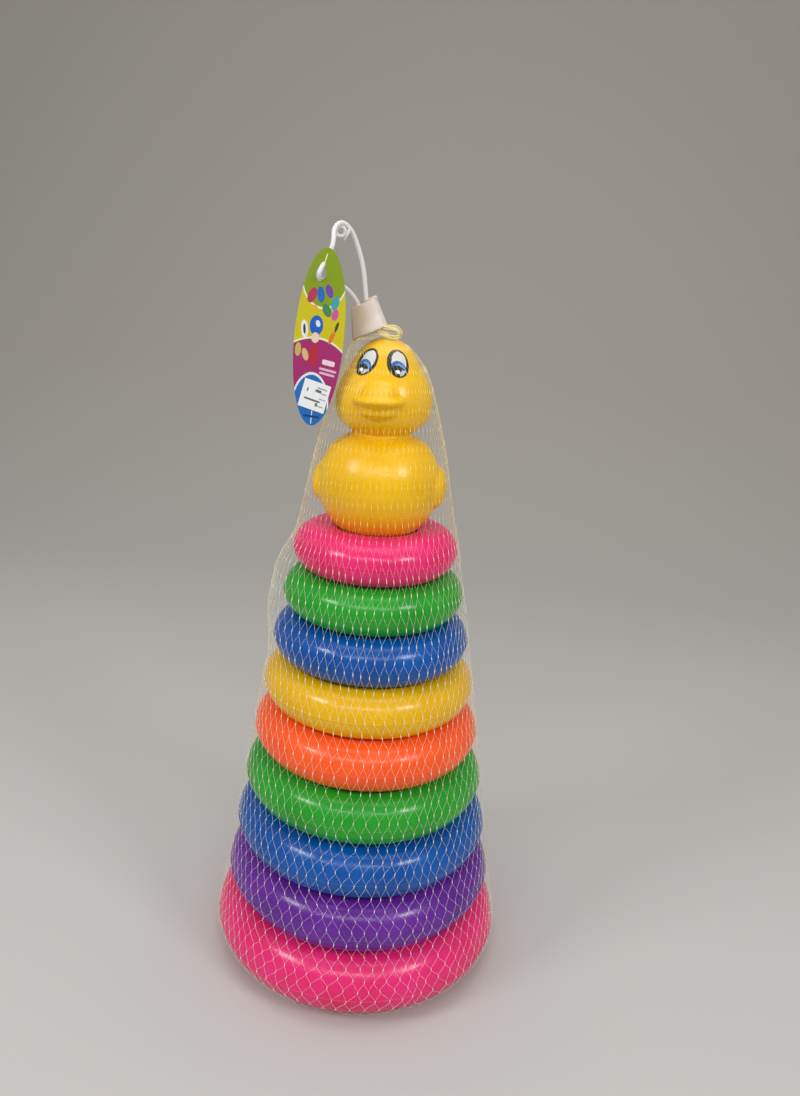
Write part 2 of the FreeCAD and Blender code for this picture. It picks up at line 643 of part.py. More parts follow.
# Hang tag: an oval card that hangs by its hole from the loop, so its middle lies
# plumb below the hole, and its price sticker.
TAG_LEAN = "atan(tag_hole_offset / tag_hole_rise)"
TAG_HANG = "(tag_hole_radius - 2 * loop_radius)"
TAG_PLACE = (FreeCAD.Vector(*LOOP_ROUTE[TAG_RUN]) + FreeCAD.Vector(*LOOP_ROUTE[TAG_RUN + 1])) / 2


def hang_from_loop(item):
    """Place an item drawn from the middle of the hole, in the XZ plane, on the loop."""
    item.Placement = FreeCAD.Placement(FreeCAD.Vector(), FreeCAD.Rotation(FreeCAD.Vector(0, 1, 0), 1))
    bind(item, Placement__Rotation__Angle=TAG_LEAN)
    bind(item, Placement__Base__x=round(TAG_PLACE.x, 3), Placement__Base__y=round(TAG_PLACE.y, 3))
    bind(item, Placement__Base__z=f"{HEAD_MIDDLE} + {round(TAG_PLACE.z, 3)} - {TAG_HANG}")


tag = new_body("hang_tag")
tag_sketch = new_sketch(tag, "tag_outline")
bind(tag_sketch, AttachmentOffset__Base__x="tag_hole_offset")
draw_oval(tag_sketch, "-tag_hole_rise", "tag_half_width", "tag_half_height")
pad(tag, "tag_card", tag_sketch, "tag_thickness", both_ways=True)
tag_hole_sketch = new_sketch(tag, "tag_hole_outline")
bind(tag_hole_sketch, AttachmentOffset__Base__z="-tag_thickness")
draw_circle(tag_hole_sketch, "0", "0", "tag_hole_radius")
pocket(tag, "tag_hole", tag_hole_sketch, reverse=True)
hang_from_loop(tag)

sticker = new_body("price_sticker")
sticker_sketch = new_sketch(sticker, "sticker_outline")
bind(sticker_sketch, AttachmentOffset__Base__x="tag_hole_offset")
bind(sticker_sketch, AttachmentOffset__Base__z="tag_thickness / 2 + sticker_gap")
STICKER_LOW = "(-tag_hole_rise - sticker_drop - sticker_height / 2)"
draw_outline(sticker_sketch, [
    ("-sticker_width / 2", STICKER_LOW),
    ("sticker_width / 2", STICKER_LOW),
    ("sticker_width / 2", f"{STICKER_LOW} + sticker_height"),
    ("-sticker_width / 2", f"{STICKER_LOW} + sticker_height"),
])
pad(sticker, "sticker_label", sticker_sketch, "sticker_thickness")
hang_from_loop(sticker)

# Check every object, then write one file for each sub-part.
doc.recompute()
for item in doc.Objects:
    if "Invalid" in item.State or "Error" in item.State:
        raise ValueError(f"{item.Name} failed: {item.State}")
kept = [item for item in doc.Objects if item.TypeId == "PartDesign::Body"] + [loop]
os.makedirs("parts", exist_ok=True)
for item in kept:
    shape = item.Shape
    if shape.isNull() or not shape.isValid() or not shape.Solids:
        raise ValueError(f"{item.Label} has no valid solid")
for item in kept:
    item.Shape.exportStep(f"parts/{item.Label}.step")
    box = item.Shape.BoundBox
    print(f"{item.Label:15s} volume {item.Shape.Volume:9.0f} z {box.ZMin:7.2f} to {box.ZMax:7.2f}"
          f" x {box.XMin:7.2f} to {box.XMax:7.2f} solids {len(item.Shape.Solids)}")
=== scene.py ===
# Stacking ring toy in its shop net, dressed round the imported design. Metres, +Z up,
# the origin on the floor under the post, the duck faces -Y.
import math
import random

import bpy
import numpy as np
from mathutils import Matrix, Vector, noise


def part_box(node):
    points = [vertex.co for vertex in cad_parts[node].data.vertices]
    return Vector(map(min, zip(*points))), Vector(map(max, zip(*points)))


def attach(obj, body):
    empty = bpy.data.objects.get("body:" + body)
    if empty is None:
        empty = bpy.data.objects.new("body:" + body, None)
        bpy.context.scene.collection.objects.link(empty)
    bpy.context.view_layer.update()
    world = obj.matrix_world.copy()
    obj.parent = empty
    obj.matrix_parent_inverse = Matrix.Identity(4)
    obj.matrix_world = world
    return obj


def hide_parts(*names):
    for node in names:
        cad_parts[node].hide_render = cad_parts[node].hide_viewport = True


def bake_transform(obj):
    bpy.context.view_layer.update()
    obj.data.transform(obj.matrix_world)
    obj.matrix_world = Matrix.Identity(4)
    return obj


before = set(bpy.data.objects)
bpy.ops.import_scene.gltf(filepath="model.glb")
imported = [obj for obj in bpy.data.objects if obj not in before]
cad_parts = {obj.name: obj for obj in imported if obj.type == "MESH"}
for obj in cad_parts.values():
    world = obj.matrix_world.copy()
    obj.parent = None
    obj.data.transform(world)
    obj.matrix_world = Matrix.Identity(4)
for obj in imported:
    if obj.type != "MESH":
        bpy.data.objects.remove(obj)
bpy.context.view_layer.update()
bpy.ops.object.select_all(action="DESELECT")
MM = 0.001

# Camera: stands a little to the duck's left, looks down on the stack and leans by a
# few degrees, as a hand-held one does.
CAMERA_PLACE = (0.046, -0.4373, 0.3795)
CAMERA_TURN = math.radians(6.55)
CAMERA_TILT = math.radians(68.87)
CAMERA_LEAN = math.radians(2.99)
bpy.ops.object.camera_add()
camera = bpy.context.object
camera.matrix_world = (
    Matrix.Translation(CAMERA_PLACE)
    @ Matrix.Rotation(CAMERA_TURN, 4, "Z")
    @ Matrix.Rotation(CAMERA_TILT, 4, "X")
    @ Matrix.Rotation(CAMERA_LEAN, 4, "Z")
)
camera.data.sensor_fit = "HORIZONTAL"
camera.data.sensor_width = 36
camera.data.lens = 38.25
camera.data.shift_x = 0.045
camera.data.shift_y = 0.087
camera.data.clip_start = 0.01
bpy.context.scene.camera = camera
bpy.context.scene.view_settings.view_transform = "Standard"


# Coloured plastic: glossy polyethylene with a faintly uneven wall, a fine moulded
# grain and a few rubbed spots. Every coloured moulding and the duck share it.
def new_group(name, takes, gives):
    """A shader node group with its sockets, and its two end nodes."""
    group = bpy.data.node_groups.new(name, "ShaderNodeTree")
    for label, kind, value in takes:
        socket = group.interface.new_socket(label, in_out="INPUT", socket_type=kind)
        if value is not None:
            socket.default_value = value
    for label, kind in gives:
        group.interface.new_socket(label, in_out="OUTPUT", socket_type=kind)
    return group, group.nodes.new("NodeGroupInput"), group.nodes.new("NodeGroupOutput")


def add_node(tree, kind, inputs=(), **settings):
    """Add a node, set its properties, and link or set its inputs by name or number."""
    node = tree.nodes.new(kind)
    for key, value in settings.items():
        setattr(node, key, value)
    for key, value in dict(inputs).items():
        if isinstance(value, bpy.types.NodeSocket):
            tree.links.new(value, node.inputs[key])
        else:
            node.inputs[key].default_value = value
    return node


def add_clouds(tree, vector, scale, detail):
    """How dense a cloud of noise is at a place."""
    settings = {"Vector": vector, "Scale": scale, "Detail": detail}
    return add_node(tree, "ShaderNodeTexNoise", settings).outputs[0]


def mix_tones(tree, share, first, second):
    """The first colour going over to the second as the share grows."""
    tones = {0: share, 6: first, 7: second}
    return add_node(tree, "ShaderNodeMix", tones, data_type="RGBA").outputs[2]


def build_plastic_group():
    takes = [
        ("Colour", "NodeSocketColor", None),
        ("Deep colour", "NodeSocketColor", None),
        ("Seed", "NodeSocketFloat", 0.0),
        ("Shine", "NodeSocketFloat", 0.22),
    ]
    gives = [
        ("Colour", "NodeSocketColor"),
        ("Roughness", "NodeSocketFloat"),
        ("Height", "NodeSocketFloat"),
    ]
    group, given, out = new_group("moulded_plastic", takes, gives)
    place = add_node(group, "ShaderNodeTexCoord")
    shift = {0: place.outputs["Object"], 1: given.outputs["Seed"]}
    shifted = add_node(group, "ShaderNodeVectorMath", shift).outputs[0]
    wall = add_clouds(group, shifted, 38.0, 3.0)
    thin = add_node(group, "ShaderNodeMapRange", {0: wall, 1: 0.35, 2: 0.7, 3: 0.0, 4: 0.55})
    colour = mix_tones(group, thin.outputs[0], given.outputs["Colour"], given.outputs["Deep colour"])
    rubbed = add_clouds(group, shifted, 90.0, 5.0)
    dull = add_node(group, "ShaderNodeMapRange", {0: rubbed, 1: 0.52, 2: 0.72, 3: 0.0, 4: 0.16})
    shine = {0: given.outputs["Shine"], 1: dull.outputs[0]}
    rough = add_node(group, "ShaderNodeMath", shine, operation="ADD")
    grain = add_clouds(group, shifted, 700.0, 2.0)
    wave = add_node(group, "ShaderNodeMath", {0: wall, 1: 3.0}, operation="MULTIPLY")
    height = add_node(group, "ShaderNodeMath", {0: wave.outputs[0], 1: grain}, operation="ADD")
    group.links.new(colour, out.inputs["Colour"])
    group.links.new(rough.outputs[0], out.inputs["Roughness"])
    group.links.new(height.outputs[0], out.inputs["Height"])
    return group


plastic_group = build_plastic_group()


def new_material(name):
    """A material with its principled shader ready to be set."""
    material = bpy.data.materials.new(name)
    material.use_nodes = True
    return material, material.node_tree, material.node_tree.nodes["Principled BSDF"]


def add_bump(tree, shader, height, depth):
    bump = add_node(tree, "ShaderNodeBump", {"Height": height, "Distance": depth, "Strength": 1.0})
    tree.links.new(bump.outputs[0], shader.inputs["Normal"])


def linear(red, green, blue):
    """A colour given as a screen shows it, 0 to 255, as the shader's linear values."""
    return tuple((value / 255) ** 2.2 for value in (red, green, blue)) + (1.0,)


def plastic(name, colour, deep, seed=0.0, shine=0.22, glow=0.0):
    material, tree, shader = new_material(name)
    settings = {"Colour": colour, "Deep colour": deep, "Seed": seed, "Shine": shine}
    skin = add_node(tree, "ShaderNodeGroup", node_tree=plastic_group)
    for key, value in settings.items():
        skin.inputs[key].default_value = value
    tree.links.new(skin.outputs["Colour"], shader.inputs["Base Color"])
    tree.links.new(skin.outputs["Roughness"], shader.inputs["Roughness"])
    shader.inputs["IOR"].default_value = 1.42
    shader.inputs["Subsurface Weight"].default_value = glow
    shader.inputs["Subsurface Radius"].default_value = (0.004, 0.004, 0.004)
    add_bump(tree, shader, skin.outputs["Height"], 0.00006)
    return material


# Each moulding's colour on the lit side and where its wall is thick.
INKS = {
    "pink": ((236, 46, 122), (214, 28, 84)),
    "purple": ((106, 42, 152), (80, 26, 124)),
    "blue": ((0, 86, 168), (0, 64, 138)),
    "green": ((40, 160, 44), (22, 132, 28)),
    "orange": ((254, 96, 40), (242, 78, 28)),
    "yellow": ((234, 182, 6), (222, 162, 2)),
}
coloured = {
    name: plastic(f"{name}_plastic", linear(*lit), linear(*deep), seed)
    for seed, (name, (lit, deep)) in enumerate(INKS.items())
}


# Base: the lowest moulding, a ring with a flat deck and a sleeve for the post, open
# underneath. It is blown and trimmed in polyethylene, with a seam round its middle.
def start_section(name, inner, outer, low, high):
    """Start a moulding's cross-section as a plane on the +X side, standing upright."""
    middle = ((inner + outer) / 2, 0, (low + high) / 2)
    bpy.ops.mesh.primitive_plane_add(size=1, location=middle, rotation=(math.pi / 2, 0, 0))
    section = bpy.context.object
    section.name = name
    section.scale = (outer - inner, high - low, 1)
    bpy.ops.object.transform_apply(location=True, rotation=True, scale=True)
    return section


def pick(piece, wanted, mode="VERT"):
    """In edit mode, select the vertices, edges or faces that wanted() says yes to."""
    bpy.ops.mesh.select_mode(type=mode)
    bpy.ops.mesh.select_all(action="DESELECT")
    bpy.ops.object.mode_set(mode="OBJECT")
    mesh = piece.data
    items = {"VERT": mesh.vertices, "EDGE": mesh.edges, "FACE": mesh.polygons}[mode]
    for item in items:
        item.select = wanted(item)
    bpy.ops.object.mode_set(mode="EDIT")


def near(value, target, slack=1e-5):
    return abs(value - target) < slack


def round_corners(section, across, radius, segments):
    """Round the section's corners that lie at a distance across from the axis."""
    pick(section, lambda vertex: near(vertex.co.x, across))
    bpy.ops.mesh.bevel(offset=radius * 0.9999, segments=segments, affect="VERTICES")
    bpy.ops.mesh.select_all(action="SELECT")
    bpy.ops.mesh.remove_doubles(threshold=1e-6)


def raise_seam(section, outer, middle, half_width=0.0006, proud=0.00035):
    """Leave the mould's seam as a low bead round the outer wall."""
    pick(section, lambda vertex: vertex.co.x > outer - 1e-5 and near(vertex.co.z, middle, 1e-4))
    bpy.ops.mesh.bevel(offset=half_width, segments=2, affect="VERTICES")
    pick(section, lambda vertex: vertex.co.x > outer - 3e-4 and near(vertex.co.z, middle, 1e-4))
    bpy.ops.transform.translate(value=(proud, 0, 0))


def spin_round(section, steps):
    """Spin the section once round the post and close the seam of the spin."""
    bpy.ops.mesh.select_all(action="SELECT")
    bpy.ops.mesh.spin(steps=steps, angle=math.tau, center=(0, 0, 0), axis=(0, 0, 1))
    bpy.ops.mesh.select_all(action="SELECT")
    bpy.ops.mesh.remove_doubles(threshold=1e-6)
    bpy.ops.mesh.normals_make_consistent(inside=False)


def apply_modifier(piece, kind, **settings):
    bpy.ops.object.select_all(action="DESELECT")
    piece.select_set(True)
    bpy.context.view_layer.objects.active = piece
    modifier = piece.modifiers.new(kind.title(), kind)
    for key, value in settings.items():
        setattr(modifier, key, value)
    bpy.ops.object.modifier_apply(modifier=modifier.name)


def finish(piece, material, smooth=math.radians(40)):
    """Smooth the faces, give the piece its finish and leave it deselected."""
    bpy.ops.object.select_all(action="DESELECT")
    piece.select_set(True)
    bpy.context.view_layer.objects.active = piece
    if smooth:
        bpy.ops.object.shade_smooth_by_angle(angle=smooth)
    if material:
        piece.data.materials.clear()
        piece.data.materials.append(material)
    bpy.ops.object.select_all(action="DESELECT")
    return piece


SPIN_STEPS = 160
FOOT_WIDTH = 0.006
BASE_WALL = 0.0022
base_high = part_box("base_shell")[1]
base_radius = base_high.x
base_height = base_high.z
plate_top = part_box("base_plate")[1].z
flange_top = plate_top + 0.003
sleeve = 0.0168
base = start_section("base_moulding", sleeve, base_radius, 0, base_height)
bpy.ops.object.mode_set(mode="EDIT")
round_corners(base, base_radius, base_height / 2, 22)
raise_seam(base, base_radius, base_height / 2)
bpy.ops.mesh.select_all(action="SELECT")
bpy.ops.mesh.delete(type="ONLY_FACE")
pick(base, lambda edge: all(near(base.data.vertices[i].co.z, 0) for i in edge.vertices), "EDGE")
bpy.ops.mesh.delete(type="EDGE")
pick(base, lambda vertex: near(vertex.co.z, 0))
bpy.ops.mesh.extrude_region_move(TRANSFORM_OT_translate={"value": (-FOOT_WIDTH, 0, 0)})
pick(base, lambda vertex: near(vertex.co.x, sleeve) and near(vertex.co.z, base_height))
bpy.ops.mesh.extrude_region_move(TRANSFORM_OT_translate={"value": (0, 0, flange_top - base_height)})
spin_round(base, SPIN_STEPS)
bpy.ops.object.mode_set(mode="OBJECT")
apply_modifier(base, "SOLIDIFY", thickness=BASE_WALL, offset=-1)
finish(base, coloured["pink"])
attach(base, "base")
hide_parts("base_shell")

# Bottom plate, screws and post: a flat pink disc, three plated pan-head screws and a
# white tapered tube. They are plain mouldings whose design shape is already right.
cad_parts["base_plate"].data.materials.clear()
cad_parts["base_plate"].data.materials.append(coloured["pink"])
white_plastic = plastic("white_plastic", linear(226, 225, 220), linear(214, 212, 205), 7.0, 0.34)
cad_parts["post"].data.materials.clear()
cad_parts["post"].data.materials.append(white_plastic)


def plated_steel():
    material, tree, shader = new_material("screw_steel")
    place = add_node(tree, "ShaderNodeTexCoord")
    cloud = add_clouds(tree, place.outputs["Object"], 900.0, 3.0)
    rough = add_node(tree, "ShaderNodeMapRange", {0: cloud, 3: 0.22, 4: 0.45})
    tone = mix_tones(tree, cloud, linear(190, 190, 194), linear(150, 150, 156))
    tree.links.new(tone, shader.inputs["Base Color"])
    tree.links.new(rough.outputs[0], shader.inputs["Roughness"])
    shader.inputs["Metallic"].default_value = 1.0
    return material


screw_steel = plated_steel()
for name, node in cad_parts.items():
    if name.startswith("base_screw"):
        node.data.materials.clear()
        node.data.materials.append(screw_steel)

# Rings: eight blow-moulded hollow rings, each smaller and lower than the one below,
# with a bead left by the mould's seam and a wall that is never quite even.
RING_BORE = 0.018
BORE_EDGE = 0.007
RING_COLOURS = ["purple", "blue", "green", "orange", "yellow", "blue", "green", "pink"]
wall_clouds = bpy.data.textures.new("wall_clouds", "CLOUDS")
wall_clouds.noise_scale = 0.035
wall_clouds.noise_depth = 1


def sag_wall(piece, strength):
    """Give a blown wall its slight unevenness, but keep the faces it stacks on flat."""
    group = piece.vertex_groups.new(name="wall")
    for corner in piece.data.vertices:
        group.add([corner.index], 1 - abs(corner.normal.z), "REPLACE")
    apply_modifier(
        piece, "DISPLACE", texture=wall_clouds, texture_coords="LOCAL", strength=strength, mid_level=0.5,
        vertex_group="wall",
    )


for number, colour in enumerate(RING_COLOURS, start=1):
    node = f"ring_{number}"
    low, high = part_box(node)
    ring = start_section(f"{node}_moulding", RING_BORE, high.x, low.z, high.z)
    bpy.ops.object.mode_set(mode="EDIT")
    round_corners(ring, high.x, (high.z - low.z) / 2, 20)
    round_corners(ring, RING_BORE, BORE_EDGE, 8)
    raise_seam(ring, high.x, (low.z + high.z) / 2)
    bpy.ops.mesh.select_all(action="SELECT")
    bpy.ops.mesh.delete(type="ONLY_FACE")
    spin_round(ring, SPIN_STEPS)
    bpy.ops.object.mode_set(mode="OBJECT")
    sag_wall(ring, 0.0004)
    finish(ring, coloured[colour])
    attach(ring, node)
    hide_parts(node)

# Duck: one hollow moulding in yellow polyethylene. Its round body sits in the top
# ring's bore, and a mould seam runs down its middle from crown to tail.
CROWN_RISE = 0.0299
SOCKET_RADIUS = 0.01215
SOCKET_TOP = -0.050
DUCK_VOXEL = 0.0009
duck_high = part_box("duck")[1]
cheeks = duck_high.z - CROWN_RISE
# The half outline from the crown down, as (out, up from the cheeks), then how the
# line leaves that point.
DUCK_OUTLINE = [
    (0.0, 0.0299, "AUTO"),
    (0.0072, 0.0284, "AUTO"),
    (0.0128, 0.0240, "AUTO"),
    (0.0176, 0.0165, "AUTO"),
    (0.0226, 0.0075, "AUTO"),
    (0.0245, -0.0005, "AUTO"),
    (0.0226, -0.0092, "AUTO"),
    (0.0140, -0.0161, "VECTOR"),
    (0.0226, -0.0206, "AUTO"),
    (0.0292, -0.0295, "AUTO"),
    (0.0320, -0.0413, "AUTO"),
    (0.0303, -0.0517, "AUTO"),
    (0.0250, -0.0613, "AUTO"),
    (0.0190, -0.0670, "AUTO"),
    (SOCKET_RADIUS, -0.0709, "VECTOR"),
    (SOCKET_RADIUS, SOCKET_TOP, "VECTOR"),
    (0.0, SOCKET_TOP, "VECTOR"),
]
bpy.ops.curve.primitive_bezier_curve_add()
outline = bpy.context.object
outline.name = "duck_moulding"
spline = outline.data.splines[0]
spline.bezier_points.add(len(DUCK_OUTLINE) - len(spline.bezier_points))
for point, (out, up, handle) in zip(spline.bezier_points, DUCK_OUTLINE):
    point.co = (out, 0, cheeks + up)
    point.handle_left_type = point.handle_right_type = handle
spline.bezier_points[0].handle_left_type = spline.bezier_points[0].handle_right_type = "FREE"
spline.bezier_points[0].handle_right = (0.004, 0, duck_high.z)
spline.bezier_points[0].handle_left = (-0.004, 0, duck_high.z)
spline.resolution_u = 8
bpy.ops.object.convert(target="MESH")
duck = bpy.context.object
bpy.ops.object.mode_set(mode="EDIT")
spin_round(duck, 96)
bpy.ops.object.mode_set(mode="OBJECT")


def add_lump(place, halves, turn=(0, 0, 0)):
    """Add an egg-shaped lump: its middle, its half sizes and its turn."""
    bpy.ops.mesh.primitive_uv_sphere_add(segments=48, ring_count=24, location=place, rotation=turn)
    lump = bpy.context.object
    lump.scale = halves
    bpy.ops.object.transform_apply(location=True, rotation=True, scale=True)
    return lump


body_middle = cheeks - 0.0413
lumps = [
    add_lump((0, -0.0200, cheeks + 0.0016), (0.0128, 0.0130, 0.0034), (math.radians(-2), 0, 0)),
    add_lump((0, -0.0226, cheeks + 0.0046), (0.0086, 0.0096, 0.0048), (math.radians(32), 0, 0)),
    add_lump((0, -0.0195, cheeks - 0.0026), (0.0104, 0.0094, 0.0036), (math.radians(6), 0, 0)),
    add_lump((0, 0.0285, body_middle + 0.009), (0.0075, 0.0090, 0.0048), (math.radians(34), 0, 0)),
]
for side in (-1, 1):
    wing = (side * 0.0292, 0.001, body_middle - 0.0016)
    lumps.append(add_lump(wing, (0.0062, 0.0138, 0.0104), (math.radians(8), 0, 0)))
    wing_tip = (side * 0.0298, 0.009, body_middle + 0.001)
    lumps.append(add_lump(wing_tip, (0.0046, 0.0100, 0.0066), (math.radians(14), 0, 0)))
bpy.ops.object.select_all(action="DESELECT")
for lump in lumps:
    lump.select_set(True)
duck.select_set(True)
bpy.context.view_layer.objects.active = duck
bpy.ops.object.join()
apply_modifier(duck, "REMESH", mode="VOXEL", voxel_size=DUCK_VOXEL)
apply_modifier(duck, "SMOOTH", factor=0.5, iterations=5)
bpy.ops.object.mode_set(mode="EDIT")
bpy.ops.mesh.select_all(action="SELECT")
bpy.ops.mesh.bisect(plane_co=(0, 0, 0), plane_no=(1, 0, 0))
bpy.ops.transform.shrink_fatten(value=0.00022)
bpy.ops.object.mode_set(mode="OBJECT")
sag_wall(duck, 0.0005)
duck_plastic = plastic("duck_plastic", linear(242, 190, 8), linear(228, 168, 2), 3.0, 0.26, 0.12)
finish(duck, duck_plastic, None)
for face in duck.data.polygons:
    face.use_smooth = True
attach(duck, "duck")
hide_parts("duck")


# Eyes: two printed ovals on the front of the head, each a film of ink with a dark
# rim, a white, a blue iris, a pupil and a glint.
def build_print_group():
    """One printed shape over another colour: an oval, or a bar as it gets squarer."""
    takes = [
        ("Place", "NodeSocketVector", None),
        ("Middle", "NodeSocketVector", None),
        ("Half size", "NodeSocketVector", (1, 1, 1)),
        ("Turn", "NodeSocketFloat", 0.0),
        ("Squareness", "NodeSocketFloat", 2.0),
        ("Under", "NodeSocketColor", None),
        ("Ink", "NodeSocketColor", None),
    ]
    group, given, out = new_group("printed_shape", takes, [("Colour", "NodeSocketColor")])
    value = given.outputs
    offset = {0: value["Place"], 1: value["Middle"]}
    moved = add_node(group, "ShaderNodeVectorMath", offset, operation="SUBTRACT")
    turning = {"Vector": moved.outputs[0], "Angle": value["Turn"]}
    turned = add_node(group, "ShaderNodeVectorRotate", turning, rotation_type="Z_AXIS")
    scaling = {0: turned.outputs[0], 1: value["Half size"]}
    scaled = add_node(group, "ShaderNodeVectorMath", scaling, operation="DIVIDE")
    absolute = add_node(group, "ShaderNodeVectorMath", {0: scaled.outputs[0]}, operation="ABSOLUTE")
    axes = add_node(group, "ShaderNodeSeparateXYZ", {0: absolute.outputs[0]})
    power = {1: value["Squareness"]}
    across = add_node(group, "ShaderNodeMath", {0: axes.outputs[0], **power}, operation="POWER")
    upward = add_node(group, "ShaderNodeMath", {0: axes.outputs[1], **power}, operation="POWER")
    added = {0: across.outputs[0], 1: upward.outputs[0]}
    total = add_node(group, "ShaderNodeMath", added, operation="ADD")
    inside = add_node(group, "ShaderNodeMath", {0: total.outputs[0], 1: 1.0}, operation="LESS_THAN")
    colour = mix_tones(group, inside.outputs[0], value["Under"], value["Ink"])
    group.links.new(colour, out.inputs["Colour"])
    return group


print_group = build_print_group()


def print_shapes(tree, place, ground, shapes):
    """Print shapes one over another: (middle, half size, turn in degrees, squareness, ink)."""
    under = ground
    for (x, y), (half_x, half_y), turn, squareness, ink in shapes:
        shape = add_node(tree, "ShaderNodeGroup", node_tree=print_group)
        tree.links.new(place, shape.inputs["Place"])
        shape.inputs["Middle"].default_value = (x, y, 0)
        shape.inputs["Half size"].default_value = (half_x, half_y, 1)
        shape.inputs["Turn"].default_value = math.radians(-turn)
        shape.inputs["Squareness"].default_value = squareness
        if isinstance(under, bpy.types.NodeSocket):
            tree.links.new(under, shape.inputs["Under"])
        else:
            shape.inputs["Under"].default_value = under
        shape.inputs["Ink"].default_value = linear(*ink)
        under = shape.outputs["Colour"]
    return under


BLACK_INK = (26, 22, 24)
EYE_SHAPES = [
    ((0.08, 0.06), (0.68, 0.78), 0, 2, (210, 214, 212)),
    ((0.03, -0.34), (0.70, 0.48), -12, 2, (32, 88, 164)),
    ((0.16, -0.24), (0.42, 0.20), -14, 2, (92, 146, 200)),
    ((-0.06, -0.56), (0.64, 0.38), -6, 2, BLACK_INK),
    ((0.34, -0.66), (0.34, 0.14), 34, 2, (180, 186, 190)),
    ((-0.10, -0.60), (0.20, 0.13), 0, 2, (236, 236, 236)),
]


def eye_print(name, seed):
    material, tree, shader = new_material(name)
    where = add_node(tree, "ShaderNodeUVMap", uv_map="print")
    rough_edge = {"Vector": where.outputs[0], "Scale": 4.0, "Detail": 2.0}
    waver = add_node(tree, "ShaderNodeTexNoise", rough_edge)
    drift = add_node(tree, "ShaderNodeVectorMath", {0: waver.outputs["Color"], 1: (-0.5, -0.5, -0.5)})
    share = {0: drift.outputs[0], "Scale": 0.10 + seed * 0.02}
    small = add_node(tree, "ShaderNodeVectorMath", share, operation="SCALE")
    place = add_node(tree, "ShaderNodeVectorMath", {0: where.outputs[0], 1: small.outputs[0]})
    colour = print_shapes(tree, place.outputs[0], linear(*BLACK_INK), EYE_SHAPES)
    tree.links.new(colour, shader.inputs["Base Color"])
    shader.inputs["Roughness"].default_value = 0.3
    return material


EYE_HALF = (0.0056, 0.0074)
EYE_RISE = 0.0186
EYE_LEAN_BACK = math.radians(34)
for side, name, turn, roll in ((-1, "eye_right", -29, 8), (1, "eye_left", 28, 4)):
    bpy.ops.mesh.primitive_circle_add(vertices=56, radius=1, fill_type="NGON")
    eye = bpy.context.object
    eye.name = f"{name}_print"
    bpy.ops.object.mode_set(mode="EDIT")
    bpy.ops.mesh.select_all(action="SELECT")
    for width in (0.15, 0.15, 0.15, 0.15, 0.15, 0.1):
        bpy.ops.mesh.inset(thickness=width)
    bpy.ops.mesh.poke()
    bpy.ops.object.mode_set(mode="OBJECT")
    layer = eye.data.uv_layers.new(name="print")
    for loop in eye.data.loops:
        corner = eye.data.vertices[loop.vertex_index].co
        layer.data[loop.index].uv = (corner.x, corner.y)
    eye.matrix_world = (
        Matrix.Translation((0, 0, cheeks + EYE_RISE))
        @ Matrix.Rotation(math.radians(turn), 4, "Z")
        @ Matrix.Translation((0, -0.03, 0.01))
        @ Matrix.Rotation(math.pi / 2 - EYE_LEAN_BACK, 4, "X")
        @ Matrix.Rotation(math.radians(-roll), 4, "Z")
        @ Matrix.Diagonal((*EYE_HALF, 1, 1))
    )
    apply_modifier(
        eye, "SHRINKWRAP", target=duck, wrap_method="PROJECT", use_project_z=True,
        use_negative_direction=True, use_positive_direction=True, offset=0.00012
    )
    bpy.ops.object.transform_apply(location=True, rotation=True, scale=True)
    apply_modifier(eye, "SOLIDIFY", thickness=0.0001, offset=1)
    finish(eye, eye_print(f"{name}_ink", turn / 27))
    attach(eye, "duck")
    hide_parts(name)

# Net bag: an extruded tubular net of cream polyethylene, stretched over the stack.
# Its strands are joined side by side for two millimetres at each knot, which makes
# long six-sided holes. It is gathered under the base and above the duck's head.
NET_COLUMNS = 73
KNOT = 0.0022
STRAND_RADIUS = 0.00006
KNOT_RADIUS = 0.00024
THINNING = 0.55
THIN_FROM, THIN_TO = 0.228, 0.280
NET_OFF = 0.0011
NET_LEAN = math.radians(16)
NECK_RADIUS = 0.0042
head_middle = Vector((0, 0, cheeks))
base_middle = base_height / 2
foot_radius = base_radius - base_middle

# The net's line from the gather under the base to the one above the head, as
# (out from the post, up from the floor).
net_line = [
    (0.002, 0.0055),
    (0.012, 0.0045),
    (0.035, 0.0030),
    (0.058, 0.0012),
    (0.0605, 0.0),
    (0.0655, 0.0),
]
for degrees in range(-72, 1, 12):
    bend = base_middle + NET_OFF
    around = math.radians(degrees)
    up = max(base_middle + bend * math.sin(around), 0.0004)
    net_line.append((foot_radius + bend * math.cos(around), up))
tier_levels = [base_middle]
for number in range(1, len(RING_COLOURS) + 1):
    low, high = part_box(f"ring_{number}")
    tier_levels.append((low.z + high.z) / 2)
    net_line.append((high.x + NET_OFF, tier_levels[-1]))
tier_levels.append(body_middle)
NET_OVER_DUCK = [
    (0.0410, -0.0600), (0.0370, -0.0413), (0.0350, -0.0310), (0.0320, -0.0190), (0.0280, -0.0050),
    (0.0260, 0.0020), (0.0236, 0.0090), (0.0205, 0.0160), (0.0160, 0.0235), (0.0106, 0.0295),
    (0.0068, 0.0325), (0.0048, 0.0355), (NECK_RADIUS, 0.0390), (NECK_RADIUS, 0.0440),
]
net_line += [(out, cheeks + up) for out, up in NET_OVER_DUCK]


def walk_line(line):
    """Lengths along a line of points, as an array, with the points as another."""
    points = np.array(line, float)
    steps = np.linalg.norm(np.diff(points, axis=0), axis=1)
    return np.concatenate([[0], np.cumsum(steps)]), points


line_lengths, line_points = walk_line(net_line)


def line_at(length):
    return [float(np.interp(length, line_lengths, line_points[:, axis])) for axis in (0, 1)]


